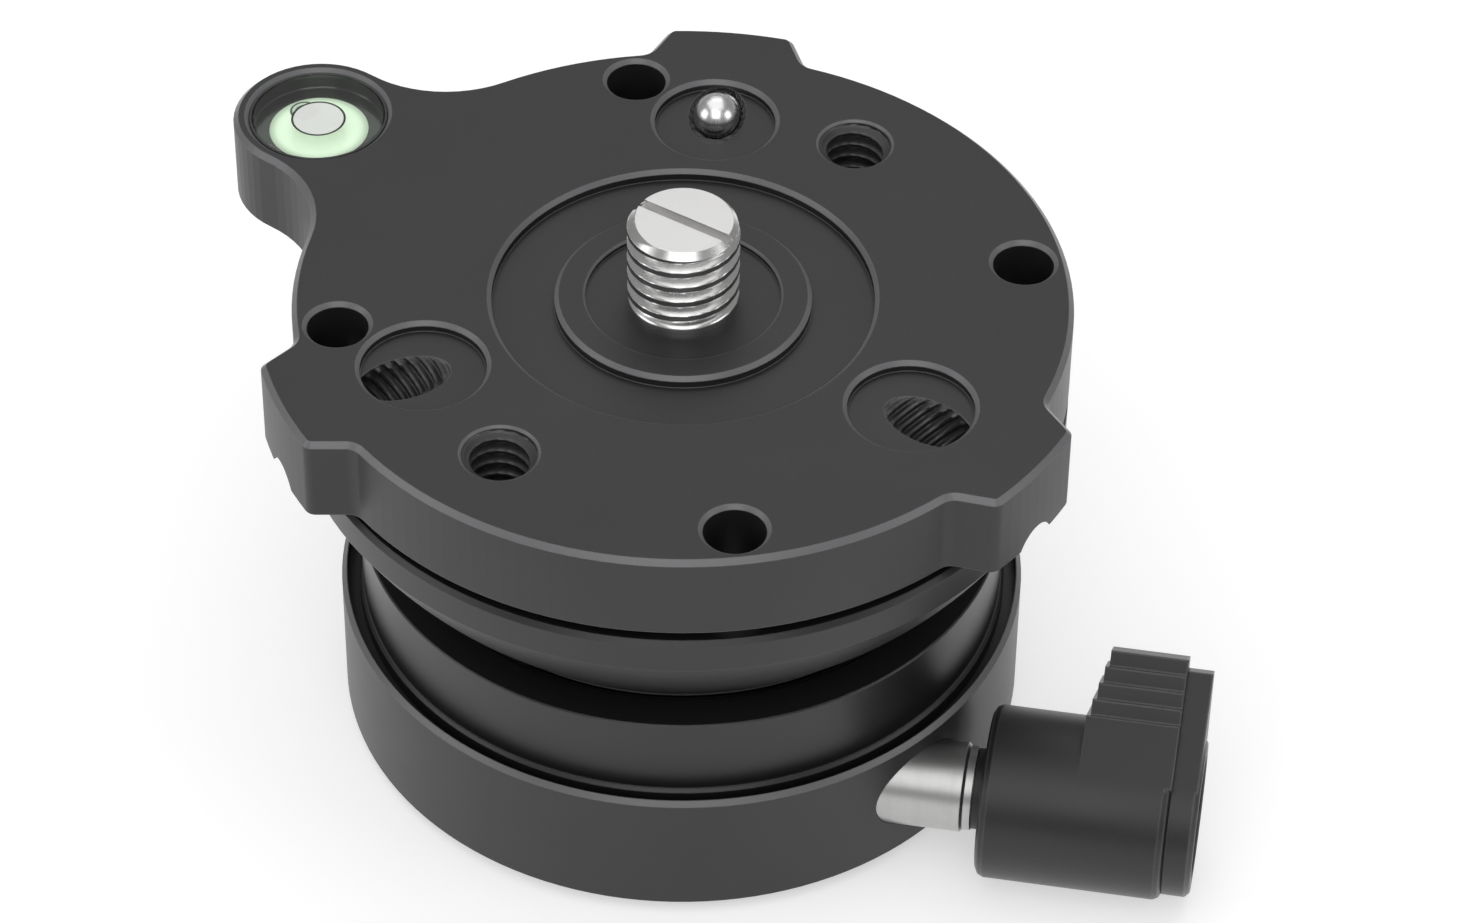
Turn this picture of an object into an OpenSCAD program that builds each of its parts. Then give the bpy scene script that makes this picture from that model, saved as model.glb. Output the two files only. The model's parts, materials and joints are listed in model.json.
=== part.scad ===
// Leveling head for a tripod: a hollow half ball under a round top plate sits in a seat ring,
// and a dome inside the ball is pulled down by a lever and an eccentric spindle to lock it.
// Millimetres, +Z up. The origin is the mouth of the tripod socket, in the plane of the pad.

/* [Housing] */
// Outside diameter of the housing
housing_d = 60; // [58:0.5:66]
// Height of the housing above its pad
housing_h = 12.5; // [12.2:0.1:14]
// Radial thickness of the housing wall below the seat ring
housing_wall = 6; // [5:0.1:6.4]
// Thickness of the housing floor
floor_t = 2.2; // [1.8:0.1:2.6]
// Chamfer on the outer edge of the rim
rim_chamfer = 0.42; // [0.2:0.02:0.8]
// Thickness of the thin rim outside the groove
rim_t = 0.5; // [0.45:0.05:0.8]
// Width of the groove between the rim and the seat ring
groove_w = 1.05; // [0.6:0.05:1.2]
// Depth of that groove
groove_depth = 1.6; // [1.2:0.1:1.6]
// Thickness of the pad under the housing
pad_t = 1; // [0.8:0.1:1.6]
// How far the pad's edge stays inside the housing's edge
pad_inset = 1.5; // [1.2:0.1:4]
// Diameter of the hole in the pad
pad_hole_d = 20; // [18:0.5:26]

/* [Tripod socket] */
// Thread diameter of the tripod socket, three eighths of an inch
socket_d = 9.525; // [6.35, 9.525]
// Outside diameter of the bushing
bushing_d = 16; // [14:0.5:17]
// Height of the bushing
bushing_h = 7.8; // [6:0.1:8]
// Diameter of the flange that holds the bushing in the floor
bushing_flange_d = 19.2; // [18:0.1:20]
// Thickness of that flange
bushing_flange_t = 1.2; // [0.8:0.1:2]

/* [Seat ring] */
// How far the seat ring above the rim stays inside the housing's outside
seat_inset = 1.9; // [1.6:0.05:3]
// Height of the seat ring above the rim
seat_h = 7.45; // [6.5:0.05:8]
// How far the seat ring reaches in past the housing's bore
web_w = 5; // [3:0.1:6]
// Chamfer on the lip of the seat
lip_chamfer = 0.25; // [0.1:0.05:0.5]
// Thickness of the liner between seat and ball
liner_t = 0.3; // [0.2:0.05:0.5]
// How far the liner stays below the lip
liner_drop = 0.5; // [0.3:0.1:1]

/* [Ball] */
// Radius of the ball
ball_r = 37.1; // [36.6:0.1:38]
// Wall thickness of the ball
ball_wall = 3.4; // [2.8:0.1:3.8]
// Diameter of the flange on the ball and of the top plate
plate_d = 66; // [65:0.5:68]
// Height of the ball's flange above the seat ring
flange_rise = 11.35; // [10.5:0.05:12.5]
// Thickness of that flange
flange_t = 3.1; // [2.6:0.1:4]
// Chamfer on the top edge of the flange
flange_chamfer = 0.42; // [0.2:0.02:0.8]
// Largest tilt of the ball, in degrees
tilt_max = 15; // [12:0.5:15.5]

/* [Top plate] */
// Thickness of the top plate
plate_t = 7.8; // [7:0.1:9]
// Chamfer on the top edge of the plate
plate_chamfer = 0.45; // [0.2:0.05:0.7]
// Gap between the flange and the plate
plate_gap = 1.26; // [0.8:0.02:2]
// How far the spigot that screws into the ball stays inside the plate's edge
spigot_inset = 5.5; // [5:0.1:7]
// Inside diameter of the spigot
spigot_bore_d = 34; // [30:0.5:40]
// How far the three tabs stand out past the plate's edge
tab_rise = 3.35; // [2.5:0.05:4.5]
// Half width of a tab at the plate's edge
tab_half_w = 6.7; // [6:0.1:8]
// Slant of a tab's side from the radius, in degrees
tab_slant = 22.7; // [10:0.1:30]
// Radius at the root of a tab
tab_root_r = 1.5; // [0.8:0.1:2.5]
// Radius at the corner of a tab
tab_corner_r = 1; // [0.8:0.1:1.4]
// Distance from the plate's edge out to the middle of the lug that holds the vial
lug_out = 7; // [6:0.1:8]
// Radius of the lug
lug_r = 7.45; // [7:0.05:8.5]
// Blend radius between the lug and the plate
lug_blend_r = 10; // [6:0.5:12]
// Diameter of the four plain holes
plain_hole_d = 5.2; // [4:0.1:5.6]
// Distance of the plain holes from the plate's edge
plain_inset = 3.75; // [3.5:0.05:4.5]
// Thread diameter of the two tapped holes, one quarter of an inch
tapped_d = 6.35; // [5, 6, 6.35]
// Distance of the tapped holes from the plate's edge
tapped_inset = 8; // [7:0.1:9]
// Depth of the countersink on a tapped hole
tapped_sink = 0.2; // [0.1:0.05:0.5]
// Diameter of the pocket over each set screw
pocket_d = 10.6; // [9:0.1:11]
// Distance of the pockets from the plate's edge
pocket_inset = 9.5; // [8.5:0.1:10]
// Depth of the pockets
pocket_depth = 0.9; // [0.5:0.1:1.5]
// Chamfer round the pockets and plain holes
hole_chamfer = 0.35; // [0.2:0.05:0.5]
// Diameter of the round recess in the middle
recess_d = 32.4; // [30:0.1:34]
// Depth of that recess
recess_depth = 1; // [0.6:0.1:1.5]
// Outside diameter of the raised ring in the recess
hub_d = 21.8; // [20:0.1:24]
// Diameter of the shallow recess inside the ring
hub_recess_d = 16.54; // [15:0.1:17.5]
// Depth of that shallow recess
hub_recess_depth = 0.5; // [0.3:0.1:0.9]

/* [Camera stud] */
// Thread diameter of the camera stud, three eighths of an inch
stud_d = 9.525; // [6.35, 9.525]
// Height of the stud above the plate
stud_rise = 8.04; // [5:0.1:10]
// Chamfer on the end of the stud
stud_chamfer = 0.56; // [0.3:0.02:0.9]
// Width of the screwdriver slot
slot_w = 0.95; // [0.7:0.05:1.4]
// Depth of the screwdriver slot
slot_depth = 1.2; // [0.8:0.1:1.8]
// Direction of the slot, in degrees
slot_turn = -26; // [-90:1:90]
// Width across the flats of the stud's lock nut
locknut_af = 14.3; // [13:0.1:16]
// Height of that nut
locknut_h = 4.5; // [3.5:0.1:5]
// Thickness of the washer over the nut
stud_washer_t = 1; // [0.6:0.1:1.2]
// Diameter of that washer
stud_washer_d = 20; // [18:0.5:22]

/* [Set screws] */
// Thread diameter of the set screws
set_d = 5; // [4:0.5:5]
// Length of a set screw over its ball tip
set_len = 9; // [8:0.1:9.5]
// Diameter of the ball tip
set_ball_d = 4; // [3:0.1:4.4]
// Slope of the set screws below the horizontal, in degrees
set_slope = 38; // [35:0.5:42]
// Where a set screw's axis meets the floor of its pocket, outwards from the pocket's middle
set_offset = 1.7; // [1.3:0.1:2.1]
// How far the tip of the raised screw stands past that point
set_raise = 2.95; // [2:0.05:3.5]
// How far the tips of the lowered screws lie behind it
set_sink = 2.9; // [2:0.1:3.2]
// Width across the flats of the socket in each set screw
set_hex_af = 2.5; // [2:0.1:2.8]

/* [Vial] */
// Outside diameter of the vial's cup
vial_d = 12.1; // [11:0.1:12.6]
// Height of the vial's cup
vial_h = 5.4; // [4.5:0.1:6]
// Diameter of the liquid
liquid_d = 8.7; // [7.5:0.1:9.2]
// Thickness of the window over the liquid
window_t = 1.5; // [1:0.1:1.8]
// Diameter of the bubble
bubble_d = 2.5; // [2:0.1:2.7]
// Distance of the bubble from the middle of the vial
bubble_dist = 2.9; // [0:0.1:2.9]
// Direction of the bubble from the lug's own, in degrees
bubble_turn = -24; // [-180:1:180]

/* [Clamp] */
// Thickness of the clamp dome
dome_t = 2.6; // [2:0.1:3]
// Half angle that the dome covers, in degrees
dome_angle = 35; // [30:0.5:36]
// Diameter of the tie bolt
tie_d = 6; // [5:0.5:6.5]
// Height of the tie bolt's head
tie_head_h = 1.8; // [1.4:0.1:2]
// Diameter of the tie bolt's head
tie_head_d = 10; // [9:0.1:10.5]
// Width across the flats of the nut on the dome
tie_nut_af = 10; // [9:0.1:11]
// Height of that nut
tie_nut_h = 5; // [4:0.1:5.4]
// Thickness of the disc spring's metal
disc_spring_t = 0.5; // [0.3:0.05:0.6]
// Width of the pull lever
lever_w = 12; // [11:0.1:13]
// Thickness of the pull lever's bar
lever_t = 3.35; // [3:0.05:3.5]
// Gap between the fulcrum bracket and the housing's bore
bracket_gap = 0.36; // [0.3:0.02:1]
// Diameter of the fulcrum pin
fulcrum_d = 4; // [3:0.1:4.2]
// Height of the lower tine of the lever's fork
tine_t = 1.2; // [1:0.1:1.4]
// Outside diameter of the return spring
spring_d = 4; // [3.4:0.1:4.2]
// Wire diameter of the return spring
spring_wire = 0.6; // [0.4:0.05:0.7]

/* [Lock spindle] */
// Distance from the housing's bore to the spindle's axis
spindle_inset = 6.36; // [6:0.02:6.8]
// Diameter of the spindle's journal
journal_d = 6; // [5.4:0.1:6.2]
// Throw of the eccentric
throw = 0.4; // [0.3:0.02:0.4]
// Diameter of the tail journal
tail_d = 4.4; // [4:0.1:4.6]
// Diameter of the metal boss between housing and knob
boss_d = 7.8; // [7.4:0.1:8.4]
// How far the boss stands out of the housing
boss_rise = 4.58; // [4:0.02:6]
// Length of the bevelled ring on the boss's end
boss_ring = 0.9; // [0.6:0.1:1.2]
// Turn of the spindle from the X axis, in degrees
knob_turn = -3.4; // [-8:0.1:8]

/* [Knob] */
// Diameter of the knob
knob_d = 14.96; // [14:0.02:15.3]
// Gap between boss and knob
knob_gap = 0.9; // [0.7:0.05:1.5]
// Length of the knob's body
knob_len = 16.05; // [15:0.05:18]
// Rounding on the knob's edges
knob_round = 0.7; // [0.4:0.1:1]
// Lean of the knob's fin behind the vertical, in degrees
fin_lean = 38; // [30:1:45]
// Height of the fin's tip above the spindle's axis
fin_h = 13.6; // [12.6:0.1:14]
// Thickness of the fin's tip
fin_tip_t = 3.2; // [2.4:0.1:3.8]
// How far the fin's front lies before the spindle's axis at the tip
fin_front = 2.3; // [1.8:0.1:2.6]
// Where the fin starts, from the inner end of the knob
fin_start = 8.05; // [7:0.05:9]
// Height of one rib on the fin
rib_pitch = 1.375; // [1:0.025:1.5]
// Number of ribs on the fin
ribs = 4; // [3:1:4]
// How much shorter each rib is than the one below
rib_shift = 0.34; // [0:0.02:0.5]
// Diameter of the end plate
cap_d = 13.8; // [13:0.1:14]
// Thickness of the end plate
cap_t = 2.4; // [2:0.1:3]
// Height of the end plate's tip above the spindle's axis
cap_tip = 12.6; // [11:0.1:12.8]
// Diameter of the recess in the end plate
cap_recess_d = 10.9; // [9:0.1:11.2]
// Depth of that recess
cap_recess_depth = 1.6; // [1:0.1:1.8]
// Diameter of the screw head in the recess
head_d = 6.6; // [5.5:0.1:7]

/* [Hidden] */
$fn = 96;

// Clearances: threads and pressed fits, running fits, ball joint, clamp at rest, loose parts
fit_gap = 0.05;
run_gap = 0.05;
ball_gap = 0.15;
clamp_gap = 0.3;
loose_gap = 0.3;
// Overrun of every cut
cut = 0.5;

// Heights, from the pad upwards
housing_r = housing_d / 2;
rim_z = pad_t + housing_h;
ledge_z = rim_z - groove_depth;
floor_z = pad_t + floor_t;
bore_r = housing_r - housing_wall;
spindle_dist = bore_r - spindle_inset;
fork_gap = 0.65;
fork_play = 0.15;
upper_tine_t = 1.25;
journal_r = journal_d / 2;
cam_r = journal_r - throw - run_gap;
slot_half = cam_r + fork_play;
spindle_z = floor_z + fork_gap + tine_t + slot_half;
lever_top = spindle_z + slot_half + upper_tine_t;
lever_bottom = lever_top - lever_t;
pole_gap = 0.55;
ball_z = lever_top + pole_gap + ball_r;

// Ball, flange and plate
plate_r = plate_d / 2;
tab_r = plate_r + tab_rise;
lug_dist = plate_r + lug_out;
plain_dist = plate_r - plain_inset;
tapped_dist = plate_r - tapped_inset;
pocket_dist = plate_r - pocket_inset;
set_dist = pocket_dist + set_offset;
seat_top = rim_z + seat_h;
flange_z = seat_top + flange_rise;
flange_top = flange_z + flange_t;
plate_z = flange_top + plate_gap;
plate_top = plate_z + plate_t;
pocket_z = plate_top - pocket_depth;
ball_in_r = ball_r - ball_wall;
spigot_r = plate_r - spigot_inset;
spigot_ledge = 1;
tilt_gap = 1;
hole_angle = tilt_max + asin((tie_d / 2 + tilt_gap) / ball_r);
ball_hole_r = ball_r * sin(hole_angle);

// Seat ring and liner
liner_in_r = ball_r + ball_gap;
liner_out_r = liner_in_r + liner_t;
seat_in_r = liner_out_r + ball_gap;
seat_r = housing_r - seat_inset;
seat_bore_r = bore_r - web_w;
collar_r = housing_r - rim_t - groove_w;
collar_bevel = 0.25;
lip_r = sqrt(pow(seat_in_r, 2) - pow(ball_z - seat_top, 2));

// Fulcrum bracket under the seat ring's web
fulcrum_z = (lever_top + lever_bottom) / 2;
fulcrum_r = fulcrum_d / 2;
bracket_wall = 0.9;
bracket_top = fulcrum_z + fulcrum_r + bracket_wall;
bracket_half = 3;
bracket_floor = 1.2;
cheek_in = lever_w / 2 + loose_gap;
cheek_t = 3.3;
cheek_out = cheek_in + cheek_t;
fulcrum_dist = sqrt(pow(bore_r - bracket_gap, 2) - pow(cheek_out, 2)) - bracket_half;
web_gap = 1;
web_z = bracket_top + web_gap;

// Small screws
small_r = 1.25;
small_head_r = 2.3;
small_head_h = 1.4;
small_thread = 4;
seat_screw_dist = bore_r + small_r + 0.6 * small_r;
seat_screw_turn = 10;
seat_screws_n = 4;

// Angles on the plate
tab_angles = [90, 210, 330];
lug_angle = 150;
plain_turn = 15;
plain_n = 4;
tapped_angles = [60, 240];
tapped_floor = 1;

// Fork of the lever
fork_back = 3.4;
fork_web = 1.2;
slot_end = spindle_dist - cam_r - throw - loose_gap;

// Places along the spindle
wall_t = sqrt(pow(bore_r, 2) - pow(spindle_dist, 2));
boss_r = boss_d / 2;
wall_in = sqrt(pow(bore_r, 2) - pow(spindle_dist + boss_r + fit_gap, 2));
boss_end = sqrt(pow(housing_r, 2) - pow(spindle_dist, 2)) + boss_rise;
cam_half = lever_w / 2 + fit_gap * 10;
tail_len = 5;
boss_start = wall_t - fit_gap * 6;
clip_t = 0.7;
clip_wall = 0.65;
clip_end = boss_start - loose_gap;
knob_start = boss_end + knob_gap;
knob_end = knob_start + knob_len;
knob_r = knob_d / 2;
drive_af = 5;
drive_start = knob_start + cap_t / 2;
drive_end = knob_end - cap_t;
knob_screw_r = 1.5;
boss_step = 0.25;

// Parts standing on the clamp dome
dome_out_r = ball_in_r - clamp_gap;
dome_in_r = dome_out_r - dome_t;
dome_boss_r = 6.6;
dome_top = ball_z - sqrt(pow(dome_in_r, 2) - pow(dome_boss_r, 2)) + dome_t / 8;
disc_spring_h = disc_spring_t * 1.8;
nut_z = dome_top + disc_spring_h;
tie_top = nut_z + tie_nut_h + tie_d / 8;

// Stud and vial
stud_r = stud_d / 2;
locknut_z = plate_z - stud_washer_t - locknut_h;
stud_tail = 0.3;
stud_neck = 0.3;
shank_r = stud_r - stud_neck;
vial_drop = 0.25;
vial_top = plate_top - vial_drop;
vial_floor = 1;
vial_r = vial_d / 2;
liquid_r = liquid_d / 2;
window_z = vial_top - window_t;
window_r = vial_r - vial_floor / 4;
bubble_t = bubble_d / 3;

function arc(c, r, from, to, n) =
    [for (i = [0:n]) let (a = from + (to - from) * i / n) c + r * [cos(a), sin(a)]];
function turned(points, a) =
    [for (p = points) [p[0] * cos(a) - p[1] * sin(a), p[0] * sin(a) + p[1] * cos(a)]];
function flipped(points) =
    [for (i = [len(points) - 1:-1:1]) [points[i][0], -points[i][1]]];

// Half of a tab, from its middle to the plate's edge: outer arc, corner and root
tab_side = plate_r * sin(tab_slant) + tab_half_w * cos(tab_slant);
tab_root_at = asin((tab_side + tab_root_r) / (plate_r + tab_root_r)) - tab_slant;
tab_corner_at = asin((tab_side - tab_corner_r) / (tab_r - tab_corner_r)) - tab_slant;
function tab_half(inset) = concat(
    arc([0, 0], tab_r - inset, 0, tab_corner_at, 4),
    arc((tab_r - tab_corner_r) * [cos(tab_corner_at), sin(tab_corner_at)],
        tab_corner_r - inset, tab_corner_at, 90 - tab_slant, 5),
    arc((plate_r + tab_root_r) * [cos(tab_root_at), sin(tab_root_at)],
        tab_root_r + inset, 270 - tab_slant, 180 + tab_root_at, 5));

// Half of the lug, from its tip to the plate's edge: the round end and the blend
blend_dist = plate_r + lug_blend_r;
blend_at = acos((pow(blend_dist, 2) + pow(lug_dist, 2) - pow(lug_r + lug_blend_r, 2))
    / (2 * blend_dist * lug_dist));
blend_c = blend_dist * [cos(blend_at), sin(blend_at)];
blend_turn = atan2(blend_c[1], blend_c[0] - lug_dist);
function lug_half(inset) = concat(
    arc([lug_dist, 0], lug_r - inset, 0, blend_turn, 14),
    arc(blend_c, lug_blend_r + inset, 180 + blend_turn, 180 + blend_at, 12));

function both(half, a) = turned(concat(flipped(half), half), a);
function rim(inset, from, to) = arc([0, 0], plate_r - inset, from, to, ceil((to - from) / 2.5));
// Outline of the plate, with its tabs and lug, drawn in by an inset
function plate_outline(inset) = concat(
    both(tab_half(inset), tab_angles[0]),
    inner(rim(inset, tab_angles[0] + tab_root_at, lug_angle - blend_at)),
    both(lug_half(inset), lug_angle),
    inner(rim(inset, lug_angle + blend_at, tab_angles[1] - tab_root_at)),
    both(tab_half(inset), tab_angles[1]),
    inner(rim(inset, tab_angles[1] + tab_root_at, tab_angles[2] - tab_root_at)),
    both(tab_half(inset), tab_angles[2]),
    inner(rim(inset, tab_angles[2] + tab_root_at, tab_angles[0] + 360 - tab_root_at)));
function inner(points) = [for (i = [1:len(points) - 2]) points[i]];

// What a chamfer takes off the plate's top edge, all round its outline
module edge_cut(top, chamfer) {
    loops = [plate_outline(-fit_gap), plate_outline(chamfer + fit_gap), plate_outline(-fit_gap)];
    heights = [top - chamfer - fit_gap, top + fit_gap, top + fit_gap];
    n = len(loops[0]);
    polyhedron(
        [for (k = [0:2]) for (p = loops[k]) [p[0], p[1], heights[k]]],
        [for (k = [0:2]) for (i = [0:n - 1]) let (j = (i + 1) % n, m = (k + 1) % 3)
            [k * n + i, k * n + j, m * n + j, m * n + i]]);
}

// A tube round Z between two heights
module tube(r_out, r_in, z0, z1) {
    difference() {
        translate([0, 0, z0]) cylinder(r = r_out, h = z1 - z0);
        translate([0, 0, z0 - cut]) cylinder(r = r_in, h = z1 - z0 + 2 * cut);
    }
}

// A solid bar round Z between two heights
module bar(r, z0, z1) {
    translate([0, 0, z0]) cylinder(r = r, h = z1 - z0);
}

// Puts children, drawn along Z, onto the spindle's axis, which runs along X there
module on_spindle() {
    rotate([0, 0, knob_turn])
        translate([0, -spindle_dist, spindle_z])
            rotate([0, 90, 0])
                children();
}

// Puts children, drawn with the spindle along X, into the clamp's own direction
module in_clamp() {
    rotate([0, 0, knob_turn]) children();
}

// Puts children, drawn along Z from the pocket's floor outwards and down, onto a set screw's axis
module on_set_screw(a) {
    rotate([0, 0, a])
        translate([set_dist, 0, pocket_z])
            rotate([0, 90 + set_slope, 0])
                children();
}

// A countersunk screw that points up, with its head's face at a height
module small_screw(z0, z1, gap) {
    bar(small_r + gap, z0, z1);
    translate([0, 0, z0])
        cylinder(r1 = small_head_r + gap, r2 = small_r + gap, h = small_head_h);
}

module at_seat_screws() {
    for (i = [0:seat_screws_n - 1])
        rotate([0, 0, seat_screw_turn + i * 360 / seat_screws_n])
            translate([seat_screw_dist, 0, 0])
                children();
}

module at_bracket_screws() {
    in_clamp()
        for (side = [-1, 1])
            translate([side * (cheek_in + cheek_out) / 2, fulcrum_dist, 0])
                children();
}

module housing() {
    color([0.09, 0.09, 0.095])
        difference() {
            rotate_extrude()
                polygon([
                    [0, pad_t],
                    [housing_r - rim_chamfer, pad_t],
                    [housing_r, pad_t + rim_chamfer],
                    [housing_r, rim_z - rim_chamfer],
                    [housing_r - rim_chamfer, rim_z],
                    [housing_r - rim_t, rim_z],
                    [housing_r - rim_t, ledge_z],
                    [bore_r, ledge_z],
                    [bore_r, floor_z],
                    [0, floor_z]]);
            bar(bushing_d / 2 + fit_gap, -cut, floor_z + cut);
            on_spindle() bar(boss_r + fit_gap, wall_in - cut, housing_r);
            on_spindle() bar(tail_d / 2 + run_gap, -wall_t - tail_len - loose_gap, 0);
            at_seat_screws() small_screw(pad_t - fit_gap, ledge_z + cut, fit_gap);
            at_bracket_screws() small_screw(pad_t - fit_gap, floor_z + cut, fit_gap);
        }
}

module base_pad() {
    color([0.05, 0.05, 0.05]) tube(housing_r - pad_inset, pad_hole_d / 2, 0, pad_t);
}

module tripod_bushing() {
    color([0.7, 0.7, 0.71])
        difference() {
            union() {
                bar(bushing_d / 2, 0, bushing_h);
                bar(bushing_flange_d / 2, floor_z, floor_z + bushing_flange_t);
            }
            bar(socket_d / 2, -cut, bushing_h + cut);
        }
}

module seat_ring() {
    color([0.1, 0.1, 0.105])
        difference() {
            rotate_extrude()
                polygon([
                    [bore_r, ledge_z],
                    [collar_r, ledge_z],
                    [collar_r, rim_z - collar_bevel],
                    [collar_r - collar_bevel, rim_z],
                    [seat_r, rim_z],
                    [seat_r, seat_top - lip_chamfer / 2],
                    [seat_r - lip_chamfer / 2, seat_top],
                    [seat_bore_r, seat_top],
                    [seat_bore_r, web_z],
                    [bore_r, web_z]]);
            translate([0, 0, ball_z]) sphere(r = seat_in_r, $fn = 180);
            translate([0, 0, seat_top - lip_chamfer])
                cylinder(r1 = lip_r, r2 = lip_r + 2 * lip_chamfer, h = 2 * lip_chamfer);
            at_seat_screws() bar(small_r + fit_gap, ledge_z - cut, ledge_z + small_thread + cut);
        }
}

module seat_screws() {
    color([0.6, 0.6, 0.61])
        at_seat_screws()
            difference() {
                small_screw(pad_t, ledge_z + small_thread, 0);
                translate([0, 0, pad_t - cut])
                    cylinder(r = small_r / 2, h = small_head_h / 2 + cut, $fn = 6);
            }
}

module fulcrum_bracket() {
    color([0.62, 0.62, 0.63])
        difference() {
            in_clamp()
                translate([-cheek_out, fulcrum_dist - bracket_half, floor_z])
                    cube([2 * cheek_out, 2 * bracket_half, bracket_top - floor_z]);
            in_clamp()
                translate([-cheek_in, fulcrum_dist - bracket_half - cut, floor_z + bracket_floor])
                    cube([2 * cheek_in, 2 * (bracket_half + cut), bracket_top]);
            in_clamp()
                translate([-cheek_out - cut, fulcrum_dist, fulcrum_z])
                    rotate([0, 90, 0])
                        cylinder(r = fulcrum_r + fit_gap, h = 2 * (cheek_out + cut));
            at_bracket_screws() bar(small_r + fit_gap, floor_z - cut, floor_z + small_thread);
        }
}

module bracket_screws() {
    color([0.6, 0.6, 0.61])
        at_bracket_screws()
            difference() {
                small_screw(pad_t, floor_z + small_thread - loose_gap, 0);
                translate([0, 0, pad_t - cut])
                    cylinder(r = small_r / 2, h = small_head_h / 2 + cut, $fn = 6);
            }
}

module fulcrum_pin() {
    color([0.75, 0.75, 0.76])
        in_clamp()
            translate([-cheek_out, fulcrum_dist, fulcrum_z])
                rotate([0, 90, 0])
                    cylinder(r = fulcrum_r, h = 2 * cheek_out);
}

// A coil of round wire, from the floor to just under the lever
module return_spring() {
    turns = 5;
    steps = 12;
    sides = 6;
    coil_r = (spring_d - spring_wire) / 2;
    z0 = floor_z + spring_wire / 2;
    rise = lever_bottom - ball_gap - spring_wire / 2 - z0;
    rings = turns * steps;
    points = [for (i = [0:rings]) for (j = [0:sides - 1])
        let (a = 360 * i / steps, b = 360 * j / sides, r = coil_r + spring_wire / 2 * cos(b))
        [r * cos(a), r * sin(a), z0 + rise * i / rings + spring_wire / 2 * sin(b)]];
    faces = concat(
        [[for (j = [0:sides - 1]) j]],
        [for (i = [0:rings - 1]) for (j = [0:sides - 1]) let (k = (j + 1) % sides)
            [i * sides + j, (i + 1) * sides + j, (i + 1) * sides + k, i * sides + k]],
        [[for (j = [sides - 1:-1:0]) rings * sides + j]]);
    color([0.7, 0.7, 0.72])
        in_clamp()
            translate([0, (bushing_flange_d / 2 + fulcrum_dist - bracket_half) / 2, 0])
                polyhedron(points, faces);
}

module spindle_boss() {
    color([0.75, 0.75, 0.75])
        on_spindle()
            difference() {
                union() {
                    bar(boss_r, boss_start, boss_end - boss_ring);
                    translate([0, 0, boss_end - boss_ring])
                        cylinder(r1 = boss_r, r2 = boss_r - boss_step, h = boss_step);
                    bar(boss_r - boss_step, boss_end - boss_ring, boss_end);
                }
                bar(journal_r + run_gap, boss_start - cut, boss_end + cut);
            }
}

module seat_liner() {
    color([0.2, 0.2, 0.2])
        difference() {
            intersection() {
                translate([0, 0, ball_z]) sphere(r = liner_out_r, $fn = 180);
                tube(lip_r + cut, seat_bore_r + fit_gap, web_z, seat_top - liner_drop);
            }
            translate([0, 0, ball_z]) sphere(r = liner_in_r, $fn = 180);
        }
}

module ball_bowl() {
    hollow_top = flange_z - spigot_ledge;
    color([0.08, 0.08, 0.085])
        difference() {
            union() {
                intersection() {
                    translate([0, 0, ball_z]) sphere(r = ball_r, $fn = 180);
                    bar(plate_r, 0, flange_z + flange_t / 2);
                }
                rotate_extrude()
                    polygon([
                        [0, flange_z],
                        [plate_r, flange_z],
                        [plate_r, flange_top - flange_chamfer],
                        [plate_r - flange_chamfer, flange_top],
                        [0, flange_top]]);
            }
            intersection() {
                translate([0, 0, ball_z]) sphere(r = ball_in_r, $fn = 180);
                bar(ball_r, 0, hollow_top);
            }
            bar(spigot_r - spigot_ledge, hollow_top - cut, flange_top + cut);
            bar(spigot_r + fit_gap, flange_z, flange_top + cut);
            bar(ball_hole_r, 0, ball_z - ball_in_r * cos(hole_angle) + cut);
            for (a = tab_angles)
                on_set_screw(a) bar(set_d / 2 + ball_gap, 0, 4 * set_len);
        }
}

// A shallow round pocket with a chamfered edge, cut down from the plate's top
module pocket(r, depth, chamfer) {
    bar(r, plate_top - depth, plate_top + cut);
    translate([0, 0, plate_top - chamfer])
        cylinder(r1 = r, r2 = r + chamfer + cut, h = chamfer + cut);
}

module top_plate() {
    color([0.09, 0.09, 0.095])
        difference() {
            union() {
                translate([0, 0, plate_z])
                    linear_extrude(height = plate_t) polygon(plate_outline(0));
                bar(spigot_r, flange_z, plate_z + cut);
            }
            edge_cut(plate_top, plate_chamfer);
            bar(spigot_bore_d / 2, flange_z - cut, plate_z);
            bar(shank_r + fit_gap, plate_z - cut, plate_top + cut);
            rotate_extrude()
                polygon([
                    [hub_d / 2, plate_top - recess_depth],
                    [hub_d / 2, plate_top - hole_chamfer],
                    [hub_d / 2 - hole_chamfer - cut, plate_top + cut],
                    [recess_d / 2 + hole_chamfer + cut, plate_top + cut],
                    [recess_d / 2, plate_top - hole_chamfer],
                    [recess_d / 2, plate_top - recess_depth]]);
            pocket(hub_recess_d / 2, hub_recess_depth, hole_chamfer / 2);
            for (i = [0:plain_n - 1])
                rotate([0, 0, plain_turn + i * 360 / plain_n])
                    translate([plain_dist, 0, 0])
                        pocket(plain_hole_d / 2, plate_t + cut, hole_chamfer);
            for (a = tapped_angles)
                rotate([0, 0, a])
                    translate([tapped_dist, 0, 0])
                        pocket(tapped_d / 2, plate_t - tapped_floor, tapped_sink);
            for (a = tab_angles) {
                rotate([0, 0, a])
                    translate([pocket_dist, 0, 0])
                        pocket(pocket_d / 2, pocket_depth, hole_chamfer);
                on_set_screw(a) bar(set_d / 2, -set_d, 4 * set_len);
            }
            rotate([0, 0, lug_angle])
                translate([lug_dist, 0, 0])
                    pocket(vial_r + fit_gap, vial_drop + vial_h, hole_chamfer);
        }
}

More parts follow.
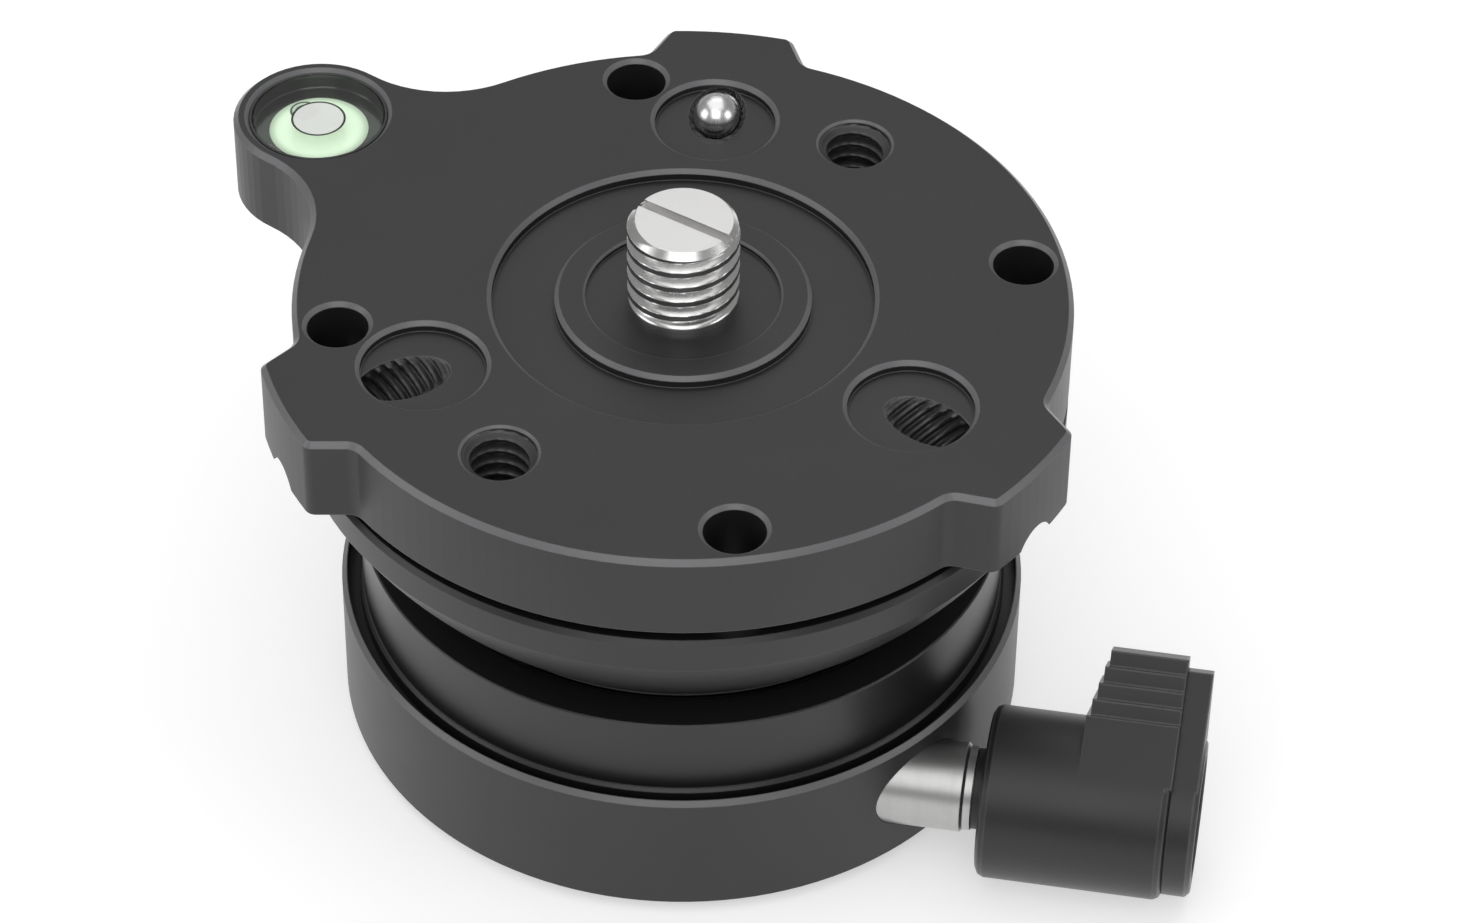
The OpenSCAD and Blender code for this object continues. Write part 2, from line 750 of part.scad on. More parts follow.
module camera_stud() {
    top = plate_top + stud_rise;
    foot = plate_top - hub_recess_depth;
    color([0.85, 0.85, 0.85])
        difference() {
            union() {
                bar(shank_r, locknut_z - stud_tail, foot + cut);
                bar(stud_r, foot, top - stud_chamfer);
                translate([0, 0, top - stud_chamfer])
                    cylinder(r1 = stud_r, r2 = stud_r - stud_chamfer, h = stud_chamfer);
            }
            rotate([0, 0, slot_turn])
                translate([-stud_d, -slot_w / 2, top - slot_depth])
                    cube([2 * stud_d, slot_w, slot_depth + cut]);
        }
}

// A six-sided nut round Z
module hex_nut(af, bore_r, z0, h) {
    difference() {
        translate([0, 0, z0]) cylinder(r = af / 2 / cos(30), h = h, $fn = 6);
        bar(bore_r, z0 - cut, z0 + h + cut);
    }
}

module stud_washer() {
    color([0.7, 0.7, 0.7])
        tube(stud_washer_d / 2, stud_r + loose_gap, plate_z - stud_washer_t, plate_z);
}

module stud_locknut() {
    color([0.7, 0.7, 0.7]) hex_nut(locknut_af, shank_r + fit_gap, locknut_z, locknut_h);
}

// Puts children at the vial's axis
module at_vial() {
    rotate([0, 0, lug_angle]) translate([lug_dist, 0, 0]) children();
}

module vial_cup() {
    color([0.06, 0.06, 0.06])
        at_vial()
            difference() {
                bar(vial_r, vial_top - vial_h, vial_top);
                bar(liquid_r, vial_top - vial_h + vial_floor, vial_top + cut);
                bar(window_r + fit_gap, window_z, vial_top + cut);
            }
}

// The bubble floats up against the window, off the vial's middle
module bubble_shape(grow) {
    rotate([0, 0, bubble_turn])
        translate([bubble_dist, 0, window_z - bubble_t])
            cylinder(r = bubble_d / 2 + grow, h = bubble_t + grow);
}

module vial_liquid() {
    color([0.75, 0.92, 0.75])
        at_vial()
            difference() {
                bar(liquid_r, vial_top - vial_h + vial_floor, window_z);
                translate([0, 0, -fit_gap]) bubble_shape(fit_gap);
            }
}

module vial_bubble() {
    color([0.95, 1, 0.95]) at_vial() bubble_shape(0);
}

module vial_window() {
    color([0.9, 0.95, 0.9, 0.4]) at_vial() bar(window_r, window_z, vial_top);
}

// A set screw with a ball tip, drawn with its tip at a place on its axis
module set_screw(tip) {
    ball = set_ball_d / 2;
    body = set_d / 2 - fit_gap;
    shoulder = tip + set_ball_d * 0.8;
    difference() {
        union() {
            translate([0, 0, tip + ball]) sphere(r = ball, $fn = 48);
            translate([0, 0, tip + ball])
                cylinder(r1 = ball * 0.8, r2 = body, h = shoulder - tip - ball);
            bar(body, shoulder, tip + set_len);
        }
        translate([0, 0, tip + set_len - set_hex_af])
            cylinder(r = set_hex_af / 2 / cos(30), h = set_hex_af + cut, $fn = 6);
    }
}

module set_screw_back() {
    color([0.5, 0.5, 0.5]) on_set_screw(tab_angles[0]) set_screw(-set_raise);
}

module set_screw_left() {
    color([0.7, 0.7, 0.7]) on_set_screw(tab_angles[1]) set_screw(set_sink);
}

module set_screw_right() {
    color([0.7, 0.7, 0.7]) on_set_screw(tab_angles[2]) set_screw(set_sink);
}

module clamp_dome() {
    dome_r = dome_out_r * sin(dome_angle);
    color([0.66, 0.66, 0.67])
        difference() {
            union() {
                intersection() {
                    difference() {
                        translate([0, 0, ball_z]) sphere(r = dome_out_r, $fn = 180);
                        translate([0, 0, ball_z]) sphere(r = dome_in_r, $fn = 180);
                    }
                    bar(dome_r, 0, ball_z);
                }
                intersection() {
                    bar(dome_boss_r, 0, dome_top);
                    translate([0, 0, ball_z]) sphere(r = dome_out_r, $fn = 180);
                }
            }
            bar(tie_d / 2 + fit_gap, 0, dome_top + cut);
        }
}

module tie_bolt() {
    color([0.72, 0.72, 0.73])
        difference() {
            union() {
                bar(tie_d / 2, lever_bottom + tie_head_h / 2, tie_top);
                bar(tie_head_d / 2, lever_bottom, lever_bottom + tie_head_h);
            }
            translate([0, 0, lever_bottom - cut])
                cylinder(r = tie_d / 4, h = tie_head_h / 2 + cut, $fn = 6);
        }
}

module disc_spring() {
    r_in = tie_d / 2 + fit_gap;
    r_out = dome_boss_r - loose_gap;
    color([0.6, 0.6, 0.62])
        rotate_extrude()
            polygon([
                [r_out, dome_top],
                [r_out, dome_top + disc_spring_t],
                [r_in, nut_z],
                [r_in, nut_z - disc_spring_t]]);
}

module tie_nut() {
    color([0.72, 0.72, 0.73]) hex_nut(tie_nut_af, tie_d / 2 + fit_gap, nut_z, tie_nut_h);
}

module pull_lever() {
    fork_bottom = spindle_z - slot_half - tine_t;
    color([0.55, 0.55, 0.57])
        in_clamp()
            difference() {
                union() {
                    rotate([90, 0, 90])
                        linear_extrude(height = lever_w, center = true)
                            polygon([
                                [fulcrum_dist, lever_bottom],
                                [fulcrum_dist, lever_top],
                                [-spindle_dist - fork_back, lever_top],
                                [-spindle_dist - fork_back, spindle_z + slot_half],
                                [-slot_end, spindle_z + slot_half],
                                [-slot_end, spindle_z - slot_half],
                                [-spindle_dist - fork_back, spindle_z - slot_half],
                                [-spindle_dist - fork_back, fork_bottom],
                                [-slot_end + fork_web, fork_bottom],
                                [-slot_end + fork_web, lever_bottom]]);
                    translate([-lever_w / 2, fulcrum_dist, fulcrum_z])
                        rotate([0, 90, 0])
                            cylinder(r = lever_t / 2 + bracket_wall, h = lever_w);
                }
                translate([-lever_w, fulcrum_dist, fulcrum_z])
                    rotate([0, 90, 0])
                        cylinder(r = fulcrum_r + run_gap, h = 2 * lever_w);
                bar(tie_d / 2 + loose_gap, lever_bottom - cut, lever_top + cut);
                bar(tie_head_d / 2 + loose_gap, lever_bottom - cut,
                    lever_bottom + tie_head_h + ball_gap);
            }
}

module lock_spindle() {
    groove_r = journal_r - clip_t;
    color([0.74, 0.74, 0.75])
        on_spindle()
            difference() {
                union() {
                    bar(tail_d / 2, -wall_t - tail_len, -cam_half);
                    translate([0, -throw, 0]) bar(cam_r, -cam_half, cam_half);
                    bar(journal_r, cam_half, drive_start);
                    translate([0, 0, drive_start])
                        cylinder(r = drive_af / 2 / cos(30), h = drive_end - drive_start, $fn = 6);
                }
                tube(journal_r + cut, groove_r, clip_end - clip_t, clip_end);
                bar(knob_screw_r + fit_gap, drive_start, drive_end + cut);
            }
}

// A retaining ring with a gap, in the spindle's groove
module spindle_clip() {
    color([0.5, 0.5, 0.52])
        on_spindle()
            difference() {
                tube(journal_r + clip_wall, journal_r - clip_t + fit_gap, clip_end - clip_t + fit_gap,
                    clip_end - fit_gap);
                translate([0, -journal_r / 2, clip_end - clip_t - cut])
                    cube([journal_d, journal_r, clip_t + 2 * cut]);
            }
}

module spindle_washer() {
    color([0.05, 0.05, 0.05])
        on_spindle()
            tube(boss_r - boss_step * 1.6, journal_r + fit_gap, boss_end + fit_gap,
                knob_start - fit_gap);
}

// Where a line from the fin's tip touches a round body: the touching point, as front and height
function touch(r, front, height) =
    let (d = norm([front, height]), a = atan2(front, height) + acos(r / d)) r * [sin(a), cos(a)];

// Sets a fin's section, given as front and height, along the spindle between two places
module fin(section, from, to) {
    on_spindle()
        translate([0, 0, from])
            rotate([0, 0, -fin_lean])
                linear_extrude(height = to - from)
                    polygon([for (p = section) [-p[1], -p[0]]]);
}

module knob_body() {
    foot = touch(knob_r, fin_front, fin_h);
    back_tip = fin_tip_t - fin_front;
    back = touch(knob_r, back_tip, fin_h);
    slope = (foot[0] - fin_front) / (fin_h - foot[1]);
    base_h = fin_h - ribs * rib_pitch;
    base_front = fin_front + slope * (fin_h - base_h);
    base_back = back_tip + (back[0] - back_tip) * (fin_h - base_h) / (fin_h - back[1]);
    soft = knob_round / 3;
    color([0.1, 0.1, 0.1])
        difference() {
            union() {
                on_spindle()
                    rotate_extrude()
                        polygon([
                            [0, knob_start],
                            [knob_r - knob_round, knob_start],
                            [knob_r - soft, knob_start + soft],
                            [knob_r, knob_start + knob_round],
                            [knob_r, knob_end - knob_round],
                            [knob_r - soft, knob_end - soft],
                            [knob_r - knob_round, knob_end],
                            [0, knob_end]]);
                fin([[0, 0], foot, [base_front, base_h], [-base_back, base_h],
                    [-back[0], back[1]]], knob_start + fin_start, knob_end);
                for (i = [1:ribs]) {
                    h = base_h + i * rib_pitch;
                    front = fin_front + slope * (fin_h - h);
                    low = base_back + (back_tip - base_back) * (i - 1) / ribs;
                    high = base_back + (back_tip - base_back) * i / ribs;
                    fin([[0, 0], [front, base_h - rib_pitch], [front, h], [-high, h],
                        [-low, h - rib_pitch], [-low, base_h - rib_pitch]],
                        knob_start + fin_start + i * rib_shift, knob_end);
                }
            }
            on_spindle() bar(journal_r + fit_gap, knob_start - cut, drive_start + fit_gap);
            on_spindle()
                translate([0, 0, drive_start])
                    cylinder(r = drive_af / 2 / cos(30) + fit_gap, h = drive_end - drive_start,
                        $fn = 6);
            on_spindle() bar(knob_screw_r + fit_gap, drive_end - cut, knob_end + cut);
        }
}

module knob_cap() {
    r = cap_d / 2;
    front = fin_front * 0.75;
    back_tip = fin_tip_t - fin_front;
    foot = touch(r, front, cap_tip);
    back = touch(r, back_tip, cap_tip);
    end = knob_end + cap_t;
    soft = rim_chamfer;
    color([0.1, 0.1, 0.1])
        difference() {
            union() {
                on_spindle() bar(r, knob_end, end - soft);
                on_spindle()
                    translate([0, 0, end - soft]) cylinder(r1 = r, r2 = r - soft, h = soft);
                fin([[0, 0], foot, [front, cap_tip], [-back_tip, cap_tip], [-back[0], back[1]]],
                    knob_end, end - soft / 2);
            }
            on_spindle() bar(cap_recess_d / 2, end - cap_recess_depth, end + cut);
            on_spindle() bar(knob_screw_r + fit_gap, knob_end - cut, end);
        }
}

module knob_screw() {
    seat = knob_end + cap_t - cap_recess_depth;
    head_h = cap_recess_depth - vial_drop;
    color([0.82, 0.82, 0.82])
        on_spindle()
            difference() {
                union() {
                    bar(knob_screw_r, knob_start + knob_len / 2, seat);
                    bar(head_d / 2, seat, seat + head_h / 2);
                    translate([0, 0, seat + head_h / 2])
                        cylinder(r1 = head_d / 2, r2 = head_d / 2 - head_h / 2, h = head_h / 2);
                }
                translate([0, 0, seat + head_h / 2])
                    cylinder(r = knob_screw_r, h = head_h, $fn = 6);
            }
}

housing();
base_pad();
tripod_bushing();
seat_ring();
seat_screws();
fulcrum_bracket();
bracket_screws();
fulcrum_pin();
return_spring();
spindle_boss();
seat_liner();
ball_bowl();
top_plate();
camera_stud();
stud_washer();
stud_locknut();
vial_cup();
vial_liquid();
vial_bubble();
vial_window();
set_screw_back();
set_screw_left();
set_screw_right();
clamp_dome();
tie_bolt();
disc_spring();
tie_nut();
pull_lever();
lock_spindle();
spindle_clip();
spindle_washer();
knob_body();
knob_cap();
knob_screw();
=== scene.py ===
"""Finishes, threads and fine detail for a tripod leveling head, with its studio."""
import json
import math
import bmesh
import bpy
import numpy as np
from mathutils import Matrix, Vector


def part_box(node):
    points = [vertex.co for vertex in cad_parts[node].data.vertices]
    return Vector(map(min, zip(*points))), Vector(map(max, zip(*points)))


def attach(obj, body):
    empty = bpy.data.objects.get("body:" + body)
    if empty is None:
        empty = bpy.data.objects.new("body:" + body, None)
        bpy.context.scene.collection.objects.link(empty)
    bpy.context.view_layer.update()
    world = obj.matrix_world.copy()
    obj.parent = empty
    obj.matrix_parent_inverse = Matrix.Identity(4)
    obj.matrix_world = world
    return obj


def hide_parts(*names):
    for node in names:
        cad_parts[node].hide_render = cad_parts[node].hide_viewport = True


bl_info = {
    "name": "Leveling head",
    "version": (1, 0, 0),
    "blender": (4, 5, 0),
    "location": "3D View > Sidebar > Leveling head",
    "description": "Finishes, threads and fine detail for a tripod leveling head",
    "category": "Object",
}

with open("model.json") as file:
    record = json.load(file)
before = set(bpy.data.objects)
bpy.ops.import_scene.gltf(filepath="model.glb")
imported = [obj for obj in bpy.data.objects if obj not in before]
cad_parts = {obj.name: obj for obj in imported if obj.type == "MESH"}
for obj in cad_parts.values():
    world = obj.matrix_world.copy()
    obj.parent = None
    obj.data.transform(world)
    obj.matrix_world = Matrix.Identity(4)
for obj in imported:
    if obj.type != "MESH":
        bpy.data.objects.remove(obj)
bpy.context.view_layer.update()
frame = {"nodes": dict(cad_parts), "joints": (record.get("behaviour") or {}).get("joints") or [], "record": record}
MM = 0.001
NODES = frame["nodes"]

# Places read from the frame, in metres
PLATE_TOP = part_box("top_plate")[1].z
STUD_LOW, STUD_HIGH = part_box("camera_stud")
CUP_LOW, CUP_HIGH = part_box("vial_cup")
CUP_MIDDLE = (CUP_LOW + CUP_HIGH) / 2
WINDOW_LOW, WINDOW_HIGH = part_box("vial_window")
BUBBLE_LOW, BUBBLE_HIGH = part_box("vial_bubble")
BUBBLE_MIDDLE = (BUBBLE_LOW + BUBBLE_HIGH) / 2
BUSHING_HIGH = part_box("tripod_bushing")[1].z
MOUNTS = {m["name"]: m for m in frame["record"]["mounts"]}
SPINDLE_AXIS = tuple(next(j["axis"] for j in frame["joints"] if j["name"] == "lock_turn"))

# Steps round a hole or a screw, and the distance at which points merge, in metres
ROUND = 96
MERGE = 1e-8

# Depth of the stud's thread, and of the thread in a set screw's hole, as a part of the depth
# that the thread share gives
STUD_PART = 0.8
SET_HOLE_PART = 0.9

# Direction of each set screw round the plate, in degrees, and the one that stands raised
SCREWS = {"set_screw_back": 90, "set_screw_left": 210, "set_screw_right": 330}
RAISED = "set_screw_back"

# Each lamp's name, its place and size in metres, and its glow
LAMPS = (
    ("lamp_over", (-0.05, 0.15, 0.8), 1.0, 0.95),
    ("lamp_back", (-0.07, 0.66, 0.63), 0.55, 0.54),
    ("lamp_left", (-0.62, -0.25, 0.3), 0.4, 2.0),
    ("lamp_right", (0.62, -0.15, 0.28), 0.35, 1.9),
    ("lamp_front", (0.04, -0.55, 0.6), 0.62, 1.8),
)

# Half the floor's side, and how far the floor lies below the pad
FLOOR_HALF = 1.2
FLOOR_GAP = 0.02 * MM

# Every finish by its name, filled by the operator for finishes
FINISHES = {}


class HeadThreads(bpy.types.PropertyGroup):
    """Sizes of the screw threads and of the slot in the camera stud."""
    stud_pitch: bpy.props.FloatProperty(
        name="Stud pitch", description="Pitch of the camera stud and of the tripod socket",
        default=1.5875 * MM, unit="LENGTH", precision=5)
    tapped_pitch: bpy.props.FloatProperty(
        name="Tapped pitch", description="Pitch of the two tapped holes in the plate",
        default=1.27 * MM, unit="LENGTH", precision=5)
    thread_share: bpy.props.FloatProperty(
        name="Thread depth", description="Depth of a thread as a share of its pitch",
        default=0.54, min=0.3, max=0.65, subtype="FACTOR")
    slot_turn: bpy.props.FloatProperty(
        name="Slot direction", description="Direction of the slot in the camera stud",
        default=math.radians(-26), subtype="ANGLE")
    slot_width: bpy.props.FloatProperty(
        name="Slot width", description="Width of the slot in the camera stud",
        default=0.95 * MM, unit="LENGTH", precision=5)
    slot_depth: bpy.props.FloatProperty(
        name="Slot depth", description="Depth of the slot in the camera stud",
        default=1.2 * MM, unit="LENGTH", precision=5)


class HeadSetScrews(bpy.types.PropertyGroup):
    """Sizes of the three slanted set screws and of their holes."""
    pitch: bpy.props.FloatProperty(
        name="Set screw pitch", description="Pitch of the set screws and of their holes",
        default=5.85 / 7 * MM, unit="LENGTH", precision=5)
    place: bpy.props.FloatProperty(
        name="Set screw place", description="Where a set screw's axis meets its pocket's floor",
        default=25.2 * MM, unit="LENGTH", precision=5)
    slope: bpy.props.FloatProperty(
        name="Set screw slope", description="Slope of the set screws below the horizontal",
        default=math.radians(38), subtype="ANGLE")
    pocket_depth: bpy.props.FloatProperty(
        name="Pocket depth", description="Depth of the pocket over each set screw",
        default=0.9 * MM, unit="LENGTH", precision=5)
    hole_d: bpy.props.FloatProperty(
        name="Hole", description="Diameter of a set screw's hole",
        default=5.0 * MM, unit="LENGTH", precision=5)
    hole_depth: bpy.props.FloatProperty(
        name="Hole depth", description="Where the hole's thread ends, along its axis",
        default=11.0 * MM, unit="LENGTH", precision=5)
    body_d: bpy.props.FloatProperty(
        name="Body", description="Diameter of a set screw over its thread",
        default=4.9 * MM, unit="LENGTH", precision=5)
    length: bpy.props.FloatProperty(
        name="Length", description="Length of a set screw with its ball",
        default=9 * MM, unit="LENGTH", precision=5)
    ball_d: bpy.props.FloatProperty(
        name="Ball", description="Diameter of the ball at the tip",
        default=4 * MM, unit="LENGTH", precision=5)
    neck_turn: bpy.props.FloatProperty(
        name="Neck", description="Angle over the ball's pole at which its neck begins",
        default=math.radians(138), subtype="ANGLE")
    neck_end: bpy.props.FloatProperty(
        name="Neck end", description="From the tip to the start of the thread",
        default=6.2 * MM, unit="LENGTH", precision=5)
    flats: bpy.props.FloatProperty(
        name="Socket", description="Width across the flats of the hexagon socket, and its depth",
        default=2.5 * MM, unit="LENGTH", precision=5)
    raised_tip: bpy.props.FloatProperty(
        name="Raised tip",
        description="The raised screw's tip, along its axis from the pocket's floor",
        default=-2.95 * MM, unit="LENGTH", precision=5)
    sunk_tip: bpy.props.FloatProperty(
        name="Sunk tip",
        description="The sunk screws' tips, along their axes from the pocket's floor",
        default=2.9 * MM, unit="LENGTH", precision=5)


class HeadVial(bpy.types.PropertyGroup):
    """Sizes of the vial's window and of the print in it."""
    ring_r: bpy.props.FloatProperty(
        name="Ring", description="Radius of the printed ring",
        default=2.3 * MM, unit="LENGTH", precision=5)
    line_r: bpy.props.FloatProperty(
        name="Line", description="Half the width of the ring's line",
        default=0.1 * MM, unit="LENGTH", precision=5)
    disc_r: bpy.props.FloatProperty(
        name="Disc", description="Radius of the pale disc inside the ring",
        default=2.2 * MM, unit="LENGTH", precision=5)
    print_depth: bpy.props.FloatProperty(
        name="Print depth", description="Depth of the print below the cup's top",
        default=0.35 * MM, unit="LENGTH", precision=5)
    lip: bpy.props.FloatProperty(
        name="Lip", description="Chamfer round the window's edges",
        default=0.12 * MM, unit="LENGTH", precision=5)
    gap: bpy.props.FloatProperty(
        name="Gap", description="Gap between the window and the liquid",
        default=0.02 * MM, unit="LENGTH", precision=5)


class HeadFinishes(bpy.types.PropertyGroup):
    """Colours of the visible finishes."""
    anodised: bpy.props.FloatVectorProperty(
        name="Anodised", description="Matte black of the plate, ball and housing",
        default=(0.0135, 0.0135, 0.014), subtype="COLOR", size=3)
    knob: bpy.props.FloatVectorProperty(
        name="Knob", description="Satin black of the knob",
        default=(0.0115, 0.0115, 0.012), subtype="COLOR", size=3)
    steel: bpy.props.FloatVectorProperty(
        name="Steel", description="Bright steel of the stud, boss and screws",
        default=(0.7, 0.696, 0.69), subtype="COLOR", size=3)
    liquid: bpy.props.FloatVectorProperty(
        name="Liquid", description="Pale green of the level's liquid",
        default=(0.7, 0.84, 0.66), subtype="COLOR", size=3)


class HeadStage(bpy.types.PropertyGroup):
    """Camera and lamps."""
    lens: bpy.props.FloatProperty(
        name="Lens", description="Focal length of the camera", default=128.53, min=20)
    azimuth: bpy.props.FloatProperty(
        name="Azimuth", description="Turn of the camera round the head",
        default=math.radians(5.9), subtype="ANGLE")
    elevation: bpy.props.FloatProperty(
        name="Elevation", description="Height of the camera above the horizon",
        default=math.radians(42.6), subtype="ANGLE")
    roll: bpy.props.FloatProperty(
        name="Roll", description="Roll of the camera", default=math.radians(-0.8),
        subtype="ANGLE")
    distance: bpy.props.FloatProperty(
        name="Distance", description="From the camera to the point it looks at",
        default=461 * MM, unit="LENGTH")
    aim: bpy.props.FloatVectorProperty(
        name="Aim", description="The point that the camera looks at, before its turn",
        default=(4.4 * MM, 4.6 * MM, 21 * MM), subtype="TRANSLATION", size=3)
    target: bpy.props.FloatProperty(
        name="Lamp aim", description="Height of the point that the lamps face",
        default=25 * MM, unit="LENGTH")
    world_light: bpy.props.FloatProperty(
        name="Room light", description="Strength of the even light of the room", default=0.3)


class Wire:
    """One output socket of a shader, so that maths on it reads as an expression."""

    def __init__(self, finish, socket):
        self.finish, self.socket = finish, socket

    def __add__(self, other):
        return self.finish.math("ADD", self, other)

    def __sub__(self, other):
        return self.finish.math("SUBTRACT", self, other)

    def __rsub__(self, other):
        return self.finish.math("SUBTRACT", other, self)

    def __mul__(self, other):
        return self.finish.math("MULTIPLY", self, other)

    __radd__, __rmul__ = __add__, __mul__

    def band(self, low, high):
        """0 below low and 1 above high, turning smoothly between them."""
        return self.finish.node("ShaderNodeMapRange", {"interpolation_type": "SMOOTHSTEP"},
                                {0: self, 1: low, 2: high, 3: 0.0, 4: 1.0})


class Finish:
    """A material or the room's light, built by expressions on its sockets."""

    def __init__(self, owner):
        owner.use_nodes = True
        self.owner, self.tree = owner, owner.node_tree
        self.tree.nodes.clear()

    def node(self, kind, settings=None, sockets=None, out=0):
        """Adds a node, sets its settings and then its sockets, and gives one of its outputs."""
        made = self.tree.nodes.new(kind)
        for key, value in (settings or {}).items():
            setattr(made, key, value)
        for key, value in (sockets or {}).items():
            if isinstance(value, Wire):
                self.tree.links.new(value.socket, made.inputs[key])
            else:
                made.inputs[key].default_value = value
        return Wire(self, made.outputs[out]) if len(made.outputs) else None

    def math(self, operation, *values):
        """A sum on numbers."""
        return self.node("ShaderNodeMath", {"operation": operation}, dict(enumerate(values)))

    def vector(self, operation, a, b=None, out=0):
        """A sum on vectors. Output 1 is its number, as for a length or a dot product."""
        return self.node("ShaderNodeVectorMath", {"operation": operation},
                         {0: a} if b is None else {0: a, 1: b}, out)

    def mix(self, a, b, share):
        """From colour a to colour b by a share."""
        return self.node("ShaderNodeMix", {"data_type": "RGBA"}, {0: share, 6: a, 7: b}, 2)

    def place(self):
        """Where a point is on the piece, in millimetres."""
        return self.vector("MULTIPLY", self.node("ShaderNodeTexCoord", out=3), (1 / MM,) * 3)

    def noise(self, where, scale, detail=2.0, roughness=0.5):
        """A soft random pattern about 0.5, with as many waves to a unit as scale says."""
        return self.node("ShaderNodeTexNoise", None,
                         {"Vector": where, "Scale": scale, "Detail": detail,
                          "Roughness": roughness})

    def soft_edge(self, radius):
        """The surface's direction with its edges rounded off in the shading."""
        return self.node("ShaderNodeBevel", {"samples": 4}, {"Radius": radius})

    def edge_mask(self, soft, reach):
        """1 along the edges, where the rounded direction leaves the true one."""
        true = self.node("ShaderNodeNewGeometry", out=1)
        return (1 - self.vector("DOT_PRODUCT", soft, true, 1)).band(0.0, reach)

    def bump(self, height, distance, strength=1.0, normal=None):
        """The surface's direction, roughened by a height."""
        sockets = {"Height": height, "Distance": distance, "Strength": strength}
        if normal is not None:
            sockets["Normal"] = normal
        return self.node("ShaderNodeBump", None, sockets)

    def surface(self, **sockets):
        """Ends the material in one shader, whose sockets are named with _ for a space."""
        named = {key.replace("_", " "): value for key, value in sockets.items()}
        return self.end(self.node("ShaderNodeBsdfPrincipled", None, named))

    def end(self, shader, kind="ShaderNodeOutputMaterial"):
        """Joins a shader to the output and gives back what was built."""
        self.node(kind, None, {"Surface": shader})
        return self.owner


def shade(colour, gain):
    """The same colour, darker or paler by a gain."""
    return tuple(part * gain for part in colour)


def rgba(colour, gain=1.0):
    """A colour for a socket, darker or paler by a gain and no paler than white."""
    return tuple(min(1.0, part * gain) for part in colour) + (1.0,)


def anodised(name, colour, rough, turned, reach=0.13, wear_and_highlight_gain=7.0, slant=0.0):
    """Anodised aluminium: a fine blasted grain, faint turning marks and paler edges, partly worn and
    partly a painted highlight. With slant, faces that slope upwards, which are the chamfers, get a
    painted highlight too."""
    f = Finish(bpy.data.materials.new(name))
    at = f.place()
    flat = f.vector("MULTIPLY", at, (1.0, 1.0, 0.0))
    radius = f.vector("LENGTH", flat, out=1)
    height = f.vector("DOT_PRODUCT", at, (0.0, 0.0, 1.0), 1)
    rings = f.noise(f.node("ShaderNodeCombineXYZ", None, {0: radius, 2: height}), 7.0, 3.0)
    grain = f.noise(at, 7.5, 3.0, 0.65)
    cloud = f.noise(at, 0.09, 2.0)
    soft = f.soft_edge(reach * MM)
    edge = f.edge_mask(soft, 0.07)
    speck = grain.band(0.35, 0.75)
    tone = f.mix(rgba(colour, 0.7), rgba(colour, 1.35), speck * 0.75 + cloud * 0.25)
    # Paler edges: partly real wear, partly a painted highlight along every edge
    wear_and_painted_highlight = edge * (0.5 + grain.band(0.3, 0.62) * 0.5)
    if slant:
        # Painted highlight: faces that slope upwards, the chamfers, are painted paler as if lit
        up = f.vector("DOT_PRODUCT", f.node("ShaderNodeTexCoord", out=1), (0.0, 0.0, 1.0), 1)
        chamfer = up.band(0.4, 0.6) * (1 - up.band(0.82, 0.93)) * slant
        wear_and_painted_highlight = f.math("MAXIMUM", wear_and_painted_highlight, chamfer * (0.8 + grain * 0.2))
    return f.surface(
        Base_Color=f.mix(tone, rgba(colour, wear_and_highlight_gain), wear_and_painted_highlight * 0.85),
        Roughness=rough + grain * 0.1 + (cloud - 0.5) * 0.12 - wear_and_painted_highlight * 0.1,
        Metallic=0.0, Specular_IOR_Level=0.5,
        Normal=f.bump(grain * 0.6 + rings * turned, 0.006 * MM, 0.5, soft))


def moulded(name, colour, rough, grain_scale=4.0, depth=0.006, coat=0.0):
    """Hard plastic or rubber: a slight skin of its own, rounded edges painted paler as a painted highlight, and a
    soft sheen.
    """
    f = Finish(bpy.data.materials.new(name))
    at = f.place()
    grain = f.noise(at, grain_scale, 3.0, 0.6)
    cloud = f.noise(at, 0.2, 2.0)
    soft = f.soft_edge(0.25 * MM)
    edge = f.edge_mask(soft, 0.2)
    return f.surface(
        # Edges are painted paler: a painted highlight along them
        Base_Color=f.mix(f.mix(rgba(colour, 0.85), rgba(colour, 1.15), grain),
                         rgba(colour, 1.9), edge * 0.6),
        Roughness=rough + (grain - 0.5) * 0.12 + (cloud - 0.5) * 0.1,
        Metallic=0.0, Coat_Weight=coat, Coat_Roughness=0.25,
        Normal=f.bump(grain, depth * MM, 0.6, soft))


def bright(name, colour, rough, axis=(0.0, 0.0, 1.0), marks=0.0, stain=0.25, metal=1.0):
    """Bare or plated steel: marks left by turning across an axis, and faint stains."""
    f = Finish(bpy.data.materials.new(name))
    at = f.place()
    along = f.vector("DOT_PRODUCT", at, axis, 1)
    rings = f.noise(f.node("ShaderNodeCombineXYZ", None, {0: along * 9.0, 1: along * 0.01}),
                    1.0, 4.0, 0.7)
    grain = f.noise(at, 5.0, 3.0, 0.6)
    cloud = f.noise(at, 0.45, 2.0)
    soft = f.soft_edge(0.08 * MM)
    dirt = cloud.band(0.45, 0.75) * stain
    tone = f.mix(rgba(colour), rgba(colour, 0.62), dirt + rings.band(0.45, 0.7) * marks * 0.5)
    return f.surface(
        Base_Color=tone, Metallic=metal,
        Roughness=rough + dirt * 0.2 + (grain - 0.5) * 0.1 + (rings - 0.5) * marks * 0.3,
        Normal=f.bump(rings * marks + grain * 0.12, 0.012 * MM, 0.6, soft))


